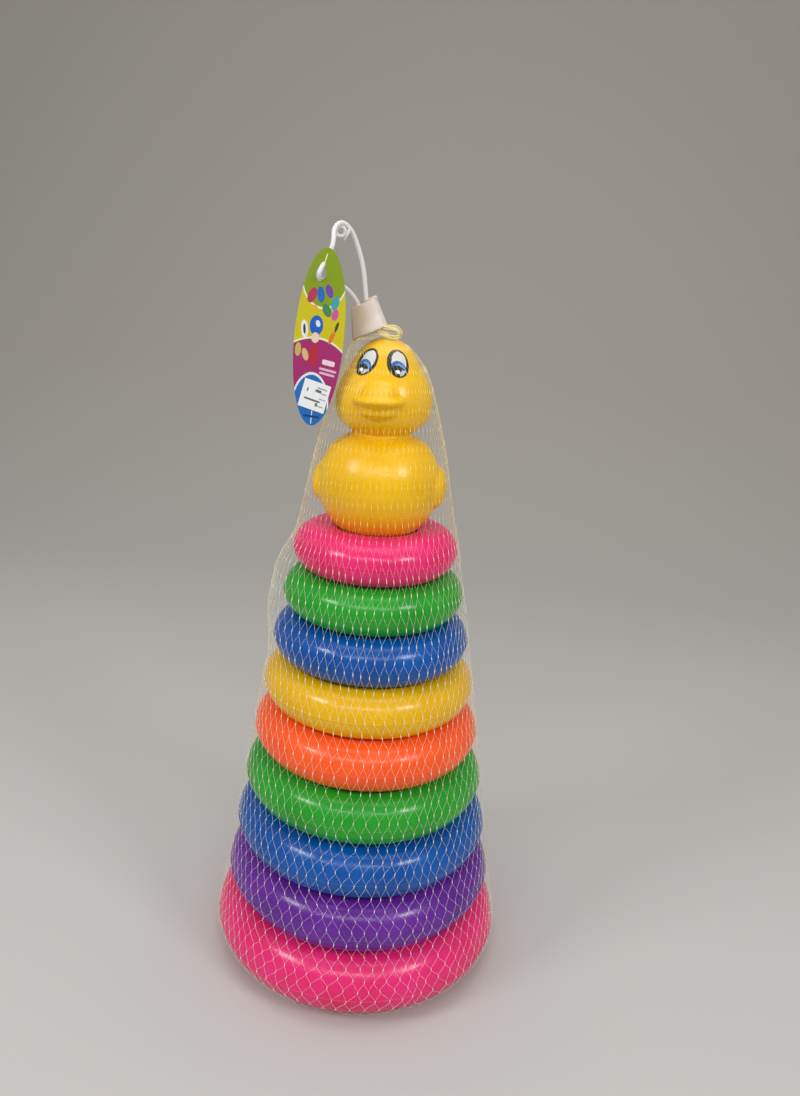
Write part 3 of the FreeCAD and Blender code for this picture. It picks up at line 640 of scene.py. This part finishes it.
# How far along the line each row of knots lies: where the bag is narrow its holes
# are stretched lengthways, so the rows are further apart.
NARROW_PITCH = 0.0108
PITCH_LOSS = 0.049
MIDDLE_PITCH = 0.0078
row_lengths = [0.004]
while row_lengths[-1] < line_lengths[-1]:
    row_lengths.append(row_lengths[-1] + NARROW_PITCH - PITCH_LOSS * line_at(row_lengths[-1])[0])
row_count = len(row_lengths) - 2


def smooth_step(value, start, end):
    share = min(max((value - start) / (end - start), 0), 1)
    return share * share * (3 - 2 * share)


# How far single knots stray, along the bag in metres and round it in columns, and how
# far whole stretches of the net do. Then how far the net stands off on its slack side
# and in front of the bill. The seed makes every run scatter the knots alike.
noise.seed_set(7)
KNOT_STRAY = (0.0014, 0.46)
STRETCH_STRAY = (0.0022, 0.9)
SLACK = 0.0062
BILL_ROOM = 0.0062


def net_place(column, row):
    """Where a point of the flat net, in columns and rows, lies on the filled bag."""
    turn = math.tau * column / NET_COLUMNS + math.pi / 2
    wander = noise.noise_vector(Vector((4 * math.cos(turn), 4 * math.sin(turn), row * 0.5)))
    ripple = noise.noise_vector(Vector((math.cos(turn), math.sin(turn), row * 0.12 + 40)))
    length = float(np.interp(row, range(len(row_lengths)), row_lengths))
    length += wander.x * KNOT_STRAY[0] + ripple.x * STRETCH_STRAY[0]
    out, up = line_at(length)
    angle = turn + math.tau * (wander.y * KNOT_STRAY[1] + ripple.y * STRETCH_STRAY[1]) / NET_COLUMNS
    side = math.cos(angle - math.pi)
    loose = smooth_step(up, 0.185, 0.225) * (1 - smooth_step(up, 0.238, 0.262))
    out += SLACK * loose * smooth_step(side, 0.25, 0.95)
    front = math.exp(-((math.remainder(angle + math.pi / 2, math.tau) / 0.42) ** 2))
    out += BILL_ROOM * front * math.exp(-(((up - cheeks - 0.002) / 0.012) ** 2))
    out += max(wander.z, 0) * 0.0005 * smooth_step(up, 0.01, 0.02)
    place = Vector((out * math.cos(angle), out * math.sin(angle), up))
    lean = NET_LEAN * smooth_step(up, cheeks + 0.012, cheeks + 0.030)
    place = head_middle + Matrix.Rotation(-lean, 3, "Y") @ (place - head_middle)
    head_line = sorted((head_up, head_out) for head_out, head_up, handle in DUCK_OUTLINE[:7])
    room = float(np.interp(place.z - cheeks, *zip(*head_line), right=0)) + 0.0006
    reach = math.hypot(place.x, place.y)
    if place.z > cheeks and reach < room:
        place.x *= room / reach
        place.y *= room / reach
    return place


# The flat net: one six-sided hole copied sideways and upwards.
bpy.ops.mesh.primitive_circle_add(vertices=6, radius=1)
strands = bpy.context.object
strands.name = "net_strands"
knot_share = KNOT / MIDDLE_PITCH
for corner in strands.data.vertices:
    if near(corner.co.x, 0, 1e-3):
        corner.co.y = math.copysign(1 - knot_share / 2, corner.co.y)
    else:
        corner.co = (math.copysign(0.5, corner.co.x), math.copysign(knot_share / 2, corner.co.y), 0)
copies = {
    "use_relative_offset": False,
    "use_constant_offset": True,
    "use_merge_vertices": True,
    "merge_threshold": 0.001,
}
apply_modifier(strands, "ARRAY", count=2, constant_offset_displace=(0.5, 1, 0), **copies)
apply_modifier(strands, "ARRAY", count=NET_COLUMNS, constant_offset_displace=(1, 0, 0), **copies)
apply_modifier(strands, "ARRAY", count=row_count // 2, constant_offset_displace=(0, 2, 0), **copies)
bpy.ops.object.mode_set(mode="EDIT")
bpy.ops.mesh.select_all(action="SELECT")
bpy.ops.mesh.remove_doubles(threshold=0.001)
corners = strands.data.vertices
pick(strands, lambda edge: near(*[corners[i].co.x for i in edge.vertices], 1e-3), "EDGE")
bpy.ops.mesh.separate(type="SELECTED")
bpy.ops.mesh.select_all(action="SELECT")
bpy.ops.mesh.subdivide(number_cuts=1)
bpy.ops.object.mode_set(mode="OBJECT")
knots = [item for item in bpy.context.selected_objects if item != strands][0]
bpy.ops.object.select_all(action="DESELECT")
bpy.context.view_layer.objects.active = knots
bpy.ops.object.mode_set(mode="EDIT")
bpy.ops.mesh.select_all(action="SELECT")
bpy.ops.mesh.subdivide(number_cuts=2)
bpy.ops.object.mode_set(mode="OBJECT")
for item, depth in ((strands, STRAND_RADIUS), (knots, KNOT_RADIUS)):
    for corner in item.data.vertices:
        corner.co = net_place(corner.co.x, corner.co.y + 1)
    bpy.context.view_layer.objects.active = item
    item.select_set(True)
    bpy.ops.object.mode_set(mode="EDIT")
    bpy.ops.mesh.select_all(action="SELECT")
    bpy.ops.mesh.remove_doubles(threshold=1e-7)
    bpy.ops.object.mode_set(mode="OBJECT")
    bpy.ops.object.convert(target="CURVE")
    item.data.bevel_depth = depth
    item.data.bevel_resolution = 0
    item.data.use_fill_caps = item is knots
    for run in item.data.splines:
        for number, point in enumerate(run.points):
            point.radius = 1 - THINNING * smooth_step(point.co.z, THIN_FROM, THIN_TO)
            if item is knots and number in (0, 3):
                point.radius *= 0.4
    bpy.ops.object.convert(target="MESH")
    bpy.ops.object.select_all(action="DESELECT")
strands.select_set(True)
knots.select_set(True)
bpy.context.view_layer.objects.active = strands
bpy.ops.object.join()
whole_net = strands


def net_plastic():
    material, tree, shader = new_material("net_plastic")
    place = add_node(tree, "ShaderNodeTexCoord")
    cloud = add_clouds(tree, place.outputs["Object"], 160.0, 2.0)
    tone = mix_tones(tree, cloud, linear(250, 246, 236), linear(232, 218, 182))
    level = add_node(tree, "ShaderNodeSeparateXYZ", {0: place.outputs["Object"]})
    gathered = add_node(tree, "ShaderNodeMapRange", {0: level.outputs[2], 1: 0.225, 2: 0.285, 4: 0.8})
    cream = mix_tones(tree, gathered.outputs[0], tone, linear(244, 228, 158))
    rough = add_node(tree, "ShaderNodeMapRange", {0: cloud, 3: 0.24, 4: 0.42})
    tree.links.new(cream, shader.inputs["Base Color"])
    tree.links.new(rough.outputs[0], shader.inputs["Roughness"])
    shader.inputs["Subsurface Weight"].default_value = 0.2
    shader.inputs["Subsurface Radius"].default_value = (0.001, 0.001, 0.001)
    return material


net_material = net_plastic()


def cut_tier(name, low=None, high=None):
    """Copy the part of the net between two levels, cut straight across the strands."""
    bpy.ops.object.select_all(action="DESELECT")
    tier = whole_net.copy()
    tier.data = whole_net.data.copy()
    tier.name = name
    bpy.context.collection.objects.link(tier)
    bpy.context.view_layer.objects.active = tier
    tier.select_set(True)
    bpy.ops.object.mode_set(mode="EDIT")
    for level, side in ((low, "clear_inner"), (high, "clear_outer")):
        if level is not None:
            bpy.ops.mesh.select_all(action="SELECT")
            bpy.ops.mesh.bisect(plane_co=(0, 0, level), plane_no=(0, 0, 1), **{side: True})
    bpy.ops.object.mode_set(mode="OBJECT")
    finish(tier, net_material, math.radians(60))
    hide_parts("net_bag")
    return tier


foot_tier = cut_tier("net_foot", high=tier_levels[0])
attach(foot_tier, "base")
stack = ["base"] + [f"ring_{number}" for number in range(1, len(RING_COLOURS) + 1)] + ["duck"]
for below, above, low, high in zip(stack, stack[1:], tier_levels, tier_levels[1:]):
    tier = cut_tier(f"net_{below}_to_{above}", low, high)
    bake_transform(tier)
crown_tier = cut_tier("net_crown", low=tier_levels[-1])
bpy.data.objects.remove(whole_net)

# Closure cap: a tapered plug of milky plastic pushed over the gathered net, a little
# flattened, with a lip at its top and a blind hole from below.
CAP_MIDDLE = Vector((-0.0105, 0, 0.0384))
CAP_LEAN = math.radians(24)
CAP_HEIGHT = 0.0140
CAP_FOOT = (0.0094, 0.0080)
CAP_TAPER = 0.0026
bpy.ops.mesh.primitive_cylinder_add(vertices=64, radius=1, depth=2)
cap = bpy.context.object
cap.name = "closure_cap_moulding"
bpy.ops.object.mode_set(mode="EDIT")
pick(cap, lambda face: abs(face.normal.z) > 0.9, "FACE")
bpy.ops.mesh.bevel(offset=0.12, segments=4)
bpy.ops.mesh.select_all(action="SELECT")
bpy.ops.mesh.bisect(plane_co=(0, 0, 0.45), plane_no=(0, 0, 1))
bpy.ops.mesh.select_all(action="SELECT")
bpy.ops.mesh.bisect(plane_co=(0, 0, -0.45), plane_no=(0, 0, 1))
pick(cap, lambda face: face.normal.z < -0.9, "FACE")
bpy.ops.mesh.inset(thickness=0.36)
bpy.ops.mesh.extrude_region_move(TRANSFORM_OT_translate={"value": (0, 0, 1.2)})
bpy.ops.object.mode_set(mode="OBJECT")
for corner in cap.data.vertices:
    up = (corner.co.z + 1) / 2
    reach = max(math.hypot(corner.co.x, corner.co.y), 1e-6)
    boxy = max(abs(corner.co.x), abs(corner.co.y), 1e-6) / reach
    grow = boxy ** -0.45
    corner.co = (
        corner.co.x * grow * (CAP_FOOT[0] - CAP_TAPER * up) - 0.0010 + 0.0021 * up,
        corner.co.y * grow * (CAP_FOOT[1] - CAP_TAPER * up),
        CAP_HEIGHT * up - CAP_HEIGHT / 2,
    )
bpy.ops.mesh.primitive_cube_add(size=1, location=(0.0052, 0, 0.0072))
lip = bpy.context.object
lip.scale = (0.0058, 0.0062, 0.0020)
bpy.ops.object.transform_apply(location=True, rotation=True, scale=True)
apply_modifier(lip, "BEVEL", width=0.0006, segments=3)
cap.select_set(True)
lip.select_set(True)
bpy.context.view_layer.objects.active = cap
bpy.ops.object.join()
cap.matrix_world = Matrix.Translation(head_middle + CAP_MIDDLE) @ Matrix.Rotation(-CAP_LEAN, 4, "Y")
bpy.ops.object.transform_apply(location=True, rotation=True, scale=True)


def milky_plastic(name, clear, cloudy_and_shade, glow):
    """Milky plastic, cloudier at random, with painted shade that makes it darker toward -X."""
    material, tree, shader = new_material(name)
    place = add_node(tree, "ShaderNodeTexCoord")
    cloud = add_clouds(tree, place.outputs["Object"], 120.0, 3.0)
    fine = add_clouds(tree, place.outputs["Object"], 1400.0, 2.0)
    axes = add_node(tree, "ShaderNodeSeparateXYZ", {0: place.outputs["Object"]})
    # Painted shade: the -X side is mixed toward the darker cloudy colour by its place alone.
    side = {0: axes.outputs[0], 1: -0.003, 2: -0.017, 3: -0.3, 4: 0.9}
    painted_shade_side = add_node(tree, "ShaderNodeMapRange", side)
    mixed = add_node(tree, "ShaderNodeMath", {0: painted_shade_side.outputs[0], 1: cloud}, operation="ADD")
    tone = mix_tones(tree, mixed.outputs[0], clear, cloudy_and_shade)
    rough = add_node(tree, "ShaderNodeMapRange", {0: cloud, 3: 0.28, 4: 0.5})
    tree.links.new(tone, shader.inputs["Base Color"])
    tree.links.new(rough.outputs[0], shader.inputs["Roughness"])
    shader.inputs["Subsurface Weight"].default_value = glow
    shader.inputs["Subsurface Radius"].default_value = (0.006, 0.005, 0.004)
    add_bump(tree, shader, fine, 0.00003)
    return material


# The cap's darker -X side is painted shade.
closure_plastic = milky_plastic("closure_plastic", linear(236, 228, 226), linear(204, 186, 162), 0.4)
finish(cap, closure_plastic)
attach(cap, "closure")
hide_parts("closure_cap")
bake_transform(crown_tier)

# Fold of the net: a few gathered strands that come back out of the cap's mouth as a
# short flat loop and lie on the crown.
FOLD_ROUTE = [
    (-0.0060, -0.0020, 0.0370),
    (-0.0015, -0.0050, 0.0352),
    (0.0032, -0.0062, 0.0346),
    (0.0066, -0.0052, 0.0330),
    (0.0070, -0.0036, 0.0310),
    (0.0040, -0.0040, 0.0306),
    (0.0000, -0.0056, 0.0316),
    (-0.0050, -0.0040, 0.0336),
]
FOLD_STRANDS = 9
random.seed(4)
fold_parts = []
for strand in range(FOLD_STRANDS):
    bpy.ops.curve.primitive_nurbs_path_add()
    run = bpy.context.object
    run.data.splines.clear()
    line = run.data.splines.new("NURBS")
    line.points.add(len(FOLD_ROUTE) - 1)
    drift = Vector([random.uniform(-0.0008, 0.0008) for axis in range(3)])
    for point, place in zip(line.points, FOLD_ROUTE):
        point.co = (*(head_middle + Vector(place) * random.uniform(0.97, 1.03) + drift), 1)
    line.order_u = 3
    line.use_endpoint_u = True
    run.data.bevel_depth = 0.00026
    run.data.bevel_resolution = 1
    bpy.ops.object.convert(target="MESH")
    fold_parts.append(bpy.context.object)
bpy.ops.object.select_all(action="DESELECT")
for part in fold_parts:
    part.select_set(True)
bpy.context.view_layer.objects.active = fold_parts[0]
bpy.ops.object.join()
fold = bpy.context.object
fold.name = "net_fold"
bpy.ops.object.transform_apply(location=True, rotation=True, scale=True)
finish(fold, net_material, math.radians(60))
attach(fold, "closure")
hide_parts("net_bag")

# Hanging loop: a round cord moulded in one with the cap, out of its top, over, down
# behind the tag, out and back through the tag's slit hole and into the cap.
LOOP_ROUTE = [
    (-10.8, 1.0, 41.0),
    (-12.3, 0.5, 58.0),
    (-15.9, 0.0, 69.4),
    (-19.6, -1.5, 77.8),
    (-24.0, -4.5, 80.8),
    (-27.0, -8.5, 77.4),
    (-25.8, -13.2, 71.6),
    (-27.8, -15.4, 64.6),
    (-30.2, -18.4, 60.4),
    (-31.2, -20.6, 57.2),
    (-31.4, -17.2, 54.4),
    (-29.4, -13.4, 54.6),
    (-25.0, -9.6, 54.2),
    (-19.5, -5.0, 51.0),
    (-15.3, -0.5, 45.6),
    (-12.8, 0.5, 40.2),
]
LOOP_RADIUS = 0.00115
bpy.ops.curve.primitive_nurbs_path_add()
loop_curve = bpy.context.object
loop_curve.data.splines.clear()
loop_line = loop_curve.data.splines.new("NURBS")
loop_line.points.add(len(LOOP_ROUTE) - 1)
for point, place in zip(loop_line.points, LOOP_ROUTE):
    point.co = (*(head_middle + Vector(place) * MM), 1)
loop_line.order_u = 3
loop_line.use_endpoint_u = True
loop_curve.data.resolution_u = 10
loop_curve.data.bevel_depth = LOOP_RADIUS
loop_curve.data.bevel_resolution = 4
loop_curve.data.use_fill_caps = True
bpy.ops.object.convert(target="MESH")
loop_curve.name = "hang_loop_cord"
bpy.ops.object.transform_apply(location=True, rotation=True, scale=True)
eye_middle = head_middle + Vector((-0.0243, -0.0043, 0.0764))
bpy.ops.mesh.primitive_torus_add(
    major_radius=0.0021, minor_radius=0.0009, major_segments=32, minor_segments=12,
    location=eye_middle, rotation=(math.pi / 2, 0, 0.15)
)
bpy.ops.object.transform_apply(location=True, rotation=True, scale=True)
loop_eye = bpy.context.object
bpy.ops.mesh.primitive_cone_add(
    vertices=16, radius1=0.0009, radius2=0.0004, depth=0.0056,
    location=eye_middle + Vector((0.0031, 0.0002, -0.0014)), rotation=(0, math.radians(208), 0)
)
loop_tail = bpy.context.object
bpy.ops.object.transform_apply(location=True, rotation=True, scale=True)
apply_modifier(loop_tail, "BEVEL", width=0.0003, segments=2)
bpy.ops.object.select_all(action="DESELECT")
for part in (loop_curve, loop_eye, loop_tail):
    part.select_set(True)
bpy.context.view_layer.objects.active = loop_curve
bpy.ops.object.join()
# The loop takes the same painted shade toward -X, faintly.
loop_plastic = milky_plastic("loop_plastic", linear(240, 238, 238), linear(226, 222, 222), 0.3)
finish(loop_curve, loop_plastic)
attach(loop_curve, "closure")
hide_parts("hang_loop")

# Hang tag: an oval printed card with a punched hole, slit up to its edge, in four
# bands of glossy ink with plain ovals and bars for print.
hole_place = Vector((-0.03065, -0.018, cheeks + 0.0576))
TAG_HALF = (0.0120, 0.0406)
TAG_MIDDLE = (0.0023, -0.0294)
TAG_HOLE = 0.0028
TAG_CURL = 0.0009
TAG_LEAN = math.atan(TAG_MIDDLE[0] / -TAG_MIDDLE[1])
bpy.ops.mesh.primitive_circle_add(vertices=96, radius=1)
tag = bpy.context.object
tag.name = "hang_tag_card"
tag.scale = (*TAG_HALF, 1)
tag.location = (*TAG_MIDDLE, 0)
bpy.ops.object.transform_apply(location=True, rotation=True, scale=True)
bpy.ops.object.mode_set(mode="EDIT")
bpy.ops.mesh.primitive_circle_add(vertices=96, radius=TAG_HOLE)
bpy.ops.mesh.select_all(action="SELECT")
bpy.ops.mesh.fill()
bpy.ops.mesh.subdivide(number_cuts=2)
bpy.ops.object.mode_set(mode="OBJECT")
layer = tag.data.uv_layers.new(name="print")
for loop in tag.data.loops:
    corner = tag.data.vertices[loop.vertex_index].co
    across = (corner.x - TAG_MIDDLE[0]) / TAG_HALF[0]
    layer.data[loop.index].uv = (across, (corner.y - TAG_MIDDLE[1]) / TAG_HALF[0])
for corner in tag.data.vertices:
    across = (corner.co.x - TAG_MIDDLE[0]) / TAG_HALF[0]
    corner.co.z = TAG_CURL * (across ** 2 - 0.3) * smooth_step(-corner.co.y, 0.006, 0.03)
# How the card hangs from its hole; the sticker hangs the same way.
hung = (
    Matrix.Translation(hole_place)
    @ Matrix.Rotation(TAG_LEAN, 4, "Y")
    @ Matrix.Rotation(math.pi / 2, 4, "X")
)
tag.matrix_world = hung
bpy.ops.object.transform_apply(location=True, rotation=True, scale=True)
apply_modifier(tag, "SOLIDIFY", thickness=0.0005, offset=0)
CREAM = (226, 232, 196)
TAG_SHAPES = [
    ((-0.1, -2.14), (1.9, 2.24), 0, 2, CREAM),
    ((-0.1, -2.22), (1.9, 2.24), 0, 2, (158, 42, 104)),
    ((0, 2.35), (0.92, 1.20), 0, 2, CREAM),
    ((0, 2.38), (0.88, 1.15), 0, 2, (128, 152, 22)),
    ((-0.12, -2.60), (0.78, 1.33), 0, 2, (224, 228, 230)),
    ((-0.12, -2.64), (0.72, 1.27), 0, 2, (30, 104, 180)),
    ((0.0, -2.9), (0.02, 0.42), 0, 6, (210, 224, 238)),
    ((-0.08, 2.84), (0.02, 0.34), -14, 6, (232, 236, 206)),
    ((-0.44, 1.62), (0.17, 0.30), -20, 2, (176, 56, 84)),
    ((-0.10, 1.68), (0.15, 0.30), 10, 2, (44, 104, 178)),
    ((0.22, 1.84), (0.14, 0.26), 24, 2, (112, 70, 160)),
    ((0.50, 1.42), (0.15, 0.26), -14, 2, (60, 156, 170)),
    ((0.20, 1.12), (0.16, 0.26), 30, 2, (70, 130, 80)),
    ((0.54, 1.00), (0.14, 0.22), -10, 2, (196, 88, 150)),
    ((-0.30, 1.16), (0.12, 0.12), 0, 2, (222, 170, 40)),
    ((-0.16, 0.52), (0.27, 0.38), 0, 2, (30, 92, 186)),
    ((-0.10, 0.60), (0.09, 0.13), 20, 2, (214, 226, 240)),
    ((-0.16, 0.06), (0.16, 0.20), 0, 2, (226, 206, 186)),
    ((-0.62, 0.34), (0.14, 0.34), 8, 2, (226, 230, 220)),
    ((-0.62, 0.34), (0.05, 0.20), 8, 2, (52, 56, 60)),
    ((0.50, 0.14), (0.09, 0.26), -20, 2, (214, 120, 40)),
    ((0.66, 0.56), (0.06, 0.20), -14, 2, (60, 70, 50)),
    ((-0.16, -0.62), (0.20, 0.44), 0, 2, (176, 40, 58)),
    ((-0.50, -0.62), (0.12, 0.24), 20, 2, (212, 176, 120)),
    ((-0.80, -0.46), (0.12, 0.26), 0, 2, (190, 176, 84)),
    ((0.48, -0.84), (0.26, 0.10), -6, 6, (232, 206, 216)),
    ((0.48, -1.12), (0.36, 0.045), -6, 6, (220, 176, 196)),
    ((0.46, -1.28), (0.32, 0.045), -6, 6, (220, 176, 196)),
    ((0.0, -3.02), (0.34, 0.05), 0, 6, (24, 60, 120)),
]


def tag_print():
    material, tree, shader = new_material("tag_print")
    where = add_node(tree, "ShaderNodeUVMap", uv_map="print")
    colour = print_shapes(tree, where.outputs[0], linear(198, 186, 22), TAG_SHAPES)
    place = add_node(tree, "ShaderNodeTexCoord")
    fibre = add_clouds(tree, place.outputs["Object"], 900.0, 3.0)
    rough = add_node(tree, "ShaderNodeMapRange", {0: fibre, 3: 0.22, 4: 0.38})
    tree.links.new(colour, shader.inputs["Base Color"])
    tree.links.new(rough.outputs[0], shader.inputs["Roughness"])
    add_bump(tree, shader, fibre, 0.00003)
    return material


finish(tag, tag_print())
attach(tag, "tag")
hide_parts("hang_tag")

# Price sticker: a small white paper label, stuck on a little askew, with grey bars
# where its print would be.
STICKER_HALF = (0.0067, 0.0068)
STICKER_CURL = 0.00028
bpy.ops.mesh.primitive_grid_add(x_subdivisions=12, y_subdivisions=12, size=2)
sticker = bpy.context.object
sticker.name = "price_sticker_label"
layer = sticker.data.uv_layers[0]
layer.name = "print"
for loop in sticker.data.loops:
    corner = sticker.data.vertices[loop.vertex_index].co
    layer.data[loop.index].uv = (corner.x, corner.y)
for corner in sticker.data.vertices:
    lift = smooth_step(corner.co.x + corner.co.y, 1.2, 2.0)
    corner.co.z = STICKER_CURL * lift / STICKER_HALF[0]
sticker.matrix_world = (
    hung
    @ Matrix.Translation((TAG_MIDDLE[0] + 0.0006, TAG_MIDDLE[1] - 0.0262, 0.00042))
    @ Matrix.Rotation(math.radians(-11), 4, "Z")
    @ Matrix.Diagonal((*STICKER_HALF, STICKER_HALF[0], 1))
)
bpy.ops.object.transform_apply(location=True, rotation=True, scale=True)
apply_modifier(sticker, "SOLIDIFY", thickness=0.0001, offset=1)
GREY_INK = (96, 98, 104)
PALE_INK = (150, 152, 158)
STICKER_SHAPES = [
    ((0.42, 0.62), (0.38, 0.05), 0, 6, PALE_INK),
    ((0.20, 0.40), (0.22, 0.10), 0, 6, GREY_INK),
    ((0.62, 0.30), (0.20, 0.05), 0, 6, PALE_INK),
    ((-0.60, 0.30), (0.06, 0.12), 0, 6, GREY_INK),
    ((-0.10, -0.32), (0.62, 0.07), 0, 6, GREY_INK),
    ((0.30, -0.56), (0.10, 0.12), 20, 6, GREY_INK),
    ((0.62, -0.10), (0.26, 0.04), 0, 6, PALE_INK),
    ((0.60, -0.62), (0.24, 0.04), 0, 6, PALE_INK),
]


def sticker_print():
    material, tree, shader = new_material("sticker_paper")
    where = add_node(tree, "ShaderNodeUVMap", uv_map="print")
    colour = print_shapes(tree, where.outputs[0], linear(232, 234, 236), STICKER_SHAPES)
    place = add_node(tree, "ShaderNodeTexCoord")
    fibre = add_clouds(tree, place.outputs["Object"], 1500.0, 3.0)
    tree.links.new(colour, shader.inputs["Base Color"])
    shader.inputs["Roughness"].default_value = 0.6
    add_bump(tree, shader, fibre, 0.00004)
    return material


finish(sticker, sticker_print())
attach(sticker, "tag")
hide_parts("price_sticker")

# Floor, backdrop and lamps: a pale sheet that curves up behind, two softboxes and a
# strip light in front and a broad softbox above.
FLOOR_DROP = -0.00024
bpy.ops.mesh.primitive_plane_add(size=1, location=(0, 0.1, FLOOR_DROP))
floor = bpy.context.object
floor.name = "floor"
floor.scale = (5, 3, 1)
bpy.ops.object.transform_apply(location=True, rotation=True, scale=True)
bpy.ops.object.mode_set(mode="EDIT")
corners = floor.data.vertices
pick(floor, lambda edge: all(corners[i].co.y > 1 for i in edge.vertices), "EDGE")
bpy.ops.mesh.extrude_region_move(TRANSFORM_OT_translate={"value": (0, 0, 2.5)})
pick(floor, lambda edge: all(corners[i].co.y > 1 > corners[i].co.z for i in edge.vertices), "EDGE")
bpy.ops.mesh.bevel(offset=0.9, segments=16, affect="EDGES")
bpy.ops.object.mode_set(mode="OBJECT")
floor_material, tree, shader = new_material("studio_paper")
place = add_node(tree, "ShaderNodeTexCoord")
axes = add_node(tree, "ShaderNodeSeparateXYZ", {0: place.outputs["Object"]})
# Painted shade: the paper is darker and warmer toward the back and up the backdrop.
backdrop_shade = add_node(tree, "ShaderNodeMapRange", {0: axes.outputs[1], 1: 0.0, 2: 1.3, 3: 0.0, 4: 1.0})
tone = mix_tones(tree, backdrop_shade.outputs[0], linear(189, 187, 184), linear(173, 168, 161))
tree.links.new(tone, shader.inputs["Base Color"])
shader.inputs["Roughness"].default_value = 0.7
finish(floor, floor_material)


def add_softbox(name, place, aim, size, power):
    bpy.ops.object.light_add(type="AREA", location=place)
    lamp = bpy.context.object
    lamp.name = name
    lamp.rotation_euler = (Vector(aim) - Vector(place)).to_track_quat("-Z", "Y").to_euler()
    lamp.data.shape = "RECTANGLE"
    lamp.data.size, lamp.data.size_y = size
    lamp.data.energy = power


add_softbox("softbox_left", (-0.80, -0.62, 0.95), (0, 0, 0.2), (0.34, 0.14), 4.0)
add_softbox("softbox_right", (0.86, -0.62, 0.95), (0, 0, 0.2), (0.34, 0.14), 4.0)
add_softbox("striplight_front", (0.03, -1.0, 0.98), (0, 0, 0.2), (1.2, 0.05), 4.0)
add_softbox("softbox_top", (0, 0.1, 1.6), (0, 0, 0.1), (1.2, 1.2), 8.6)
world = bpy.data.worlds.new("studio")
bpy.context.scene.world = world
world.use_nodes = True
world.node_tree.nodes["Background"].inputs["Color"].default_value = (1, 1, 1, 1)
world.node_tree.nodes["Background"].inputs["Strength"].default_value = 0.40
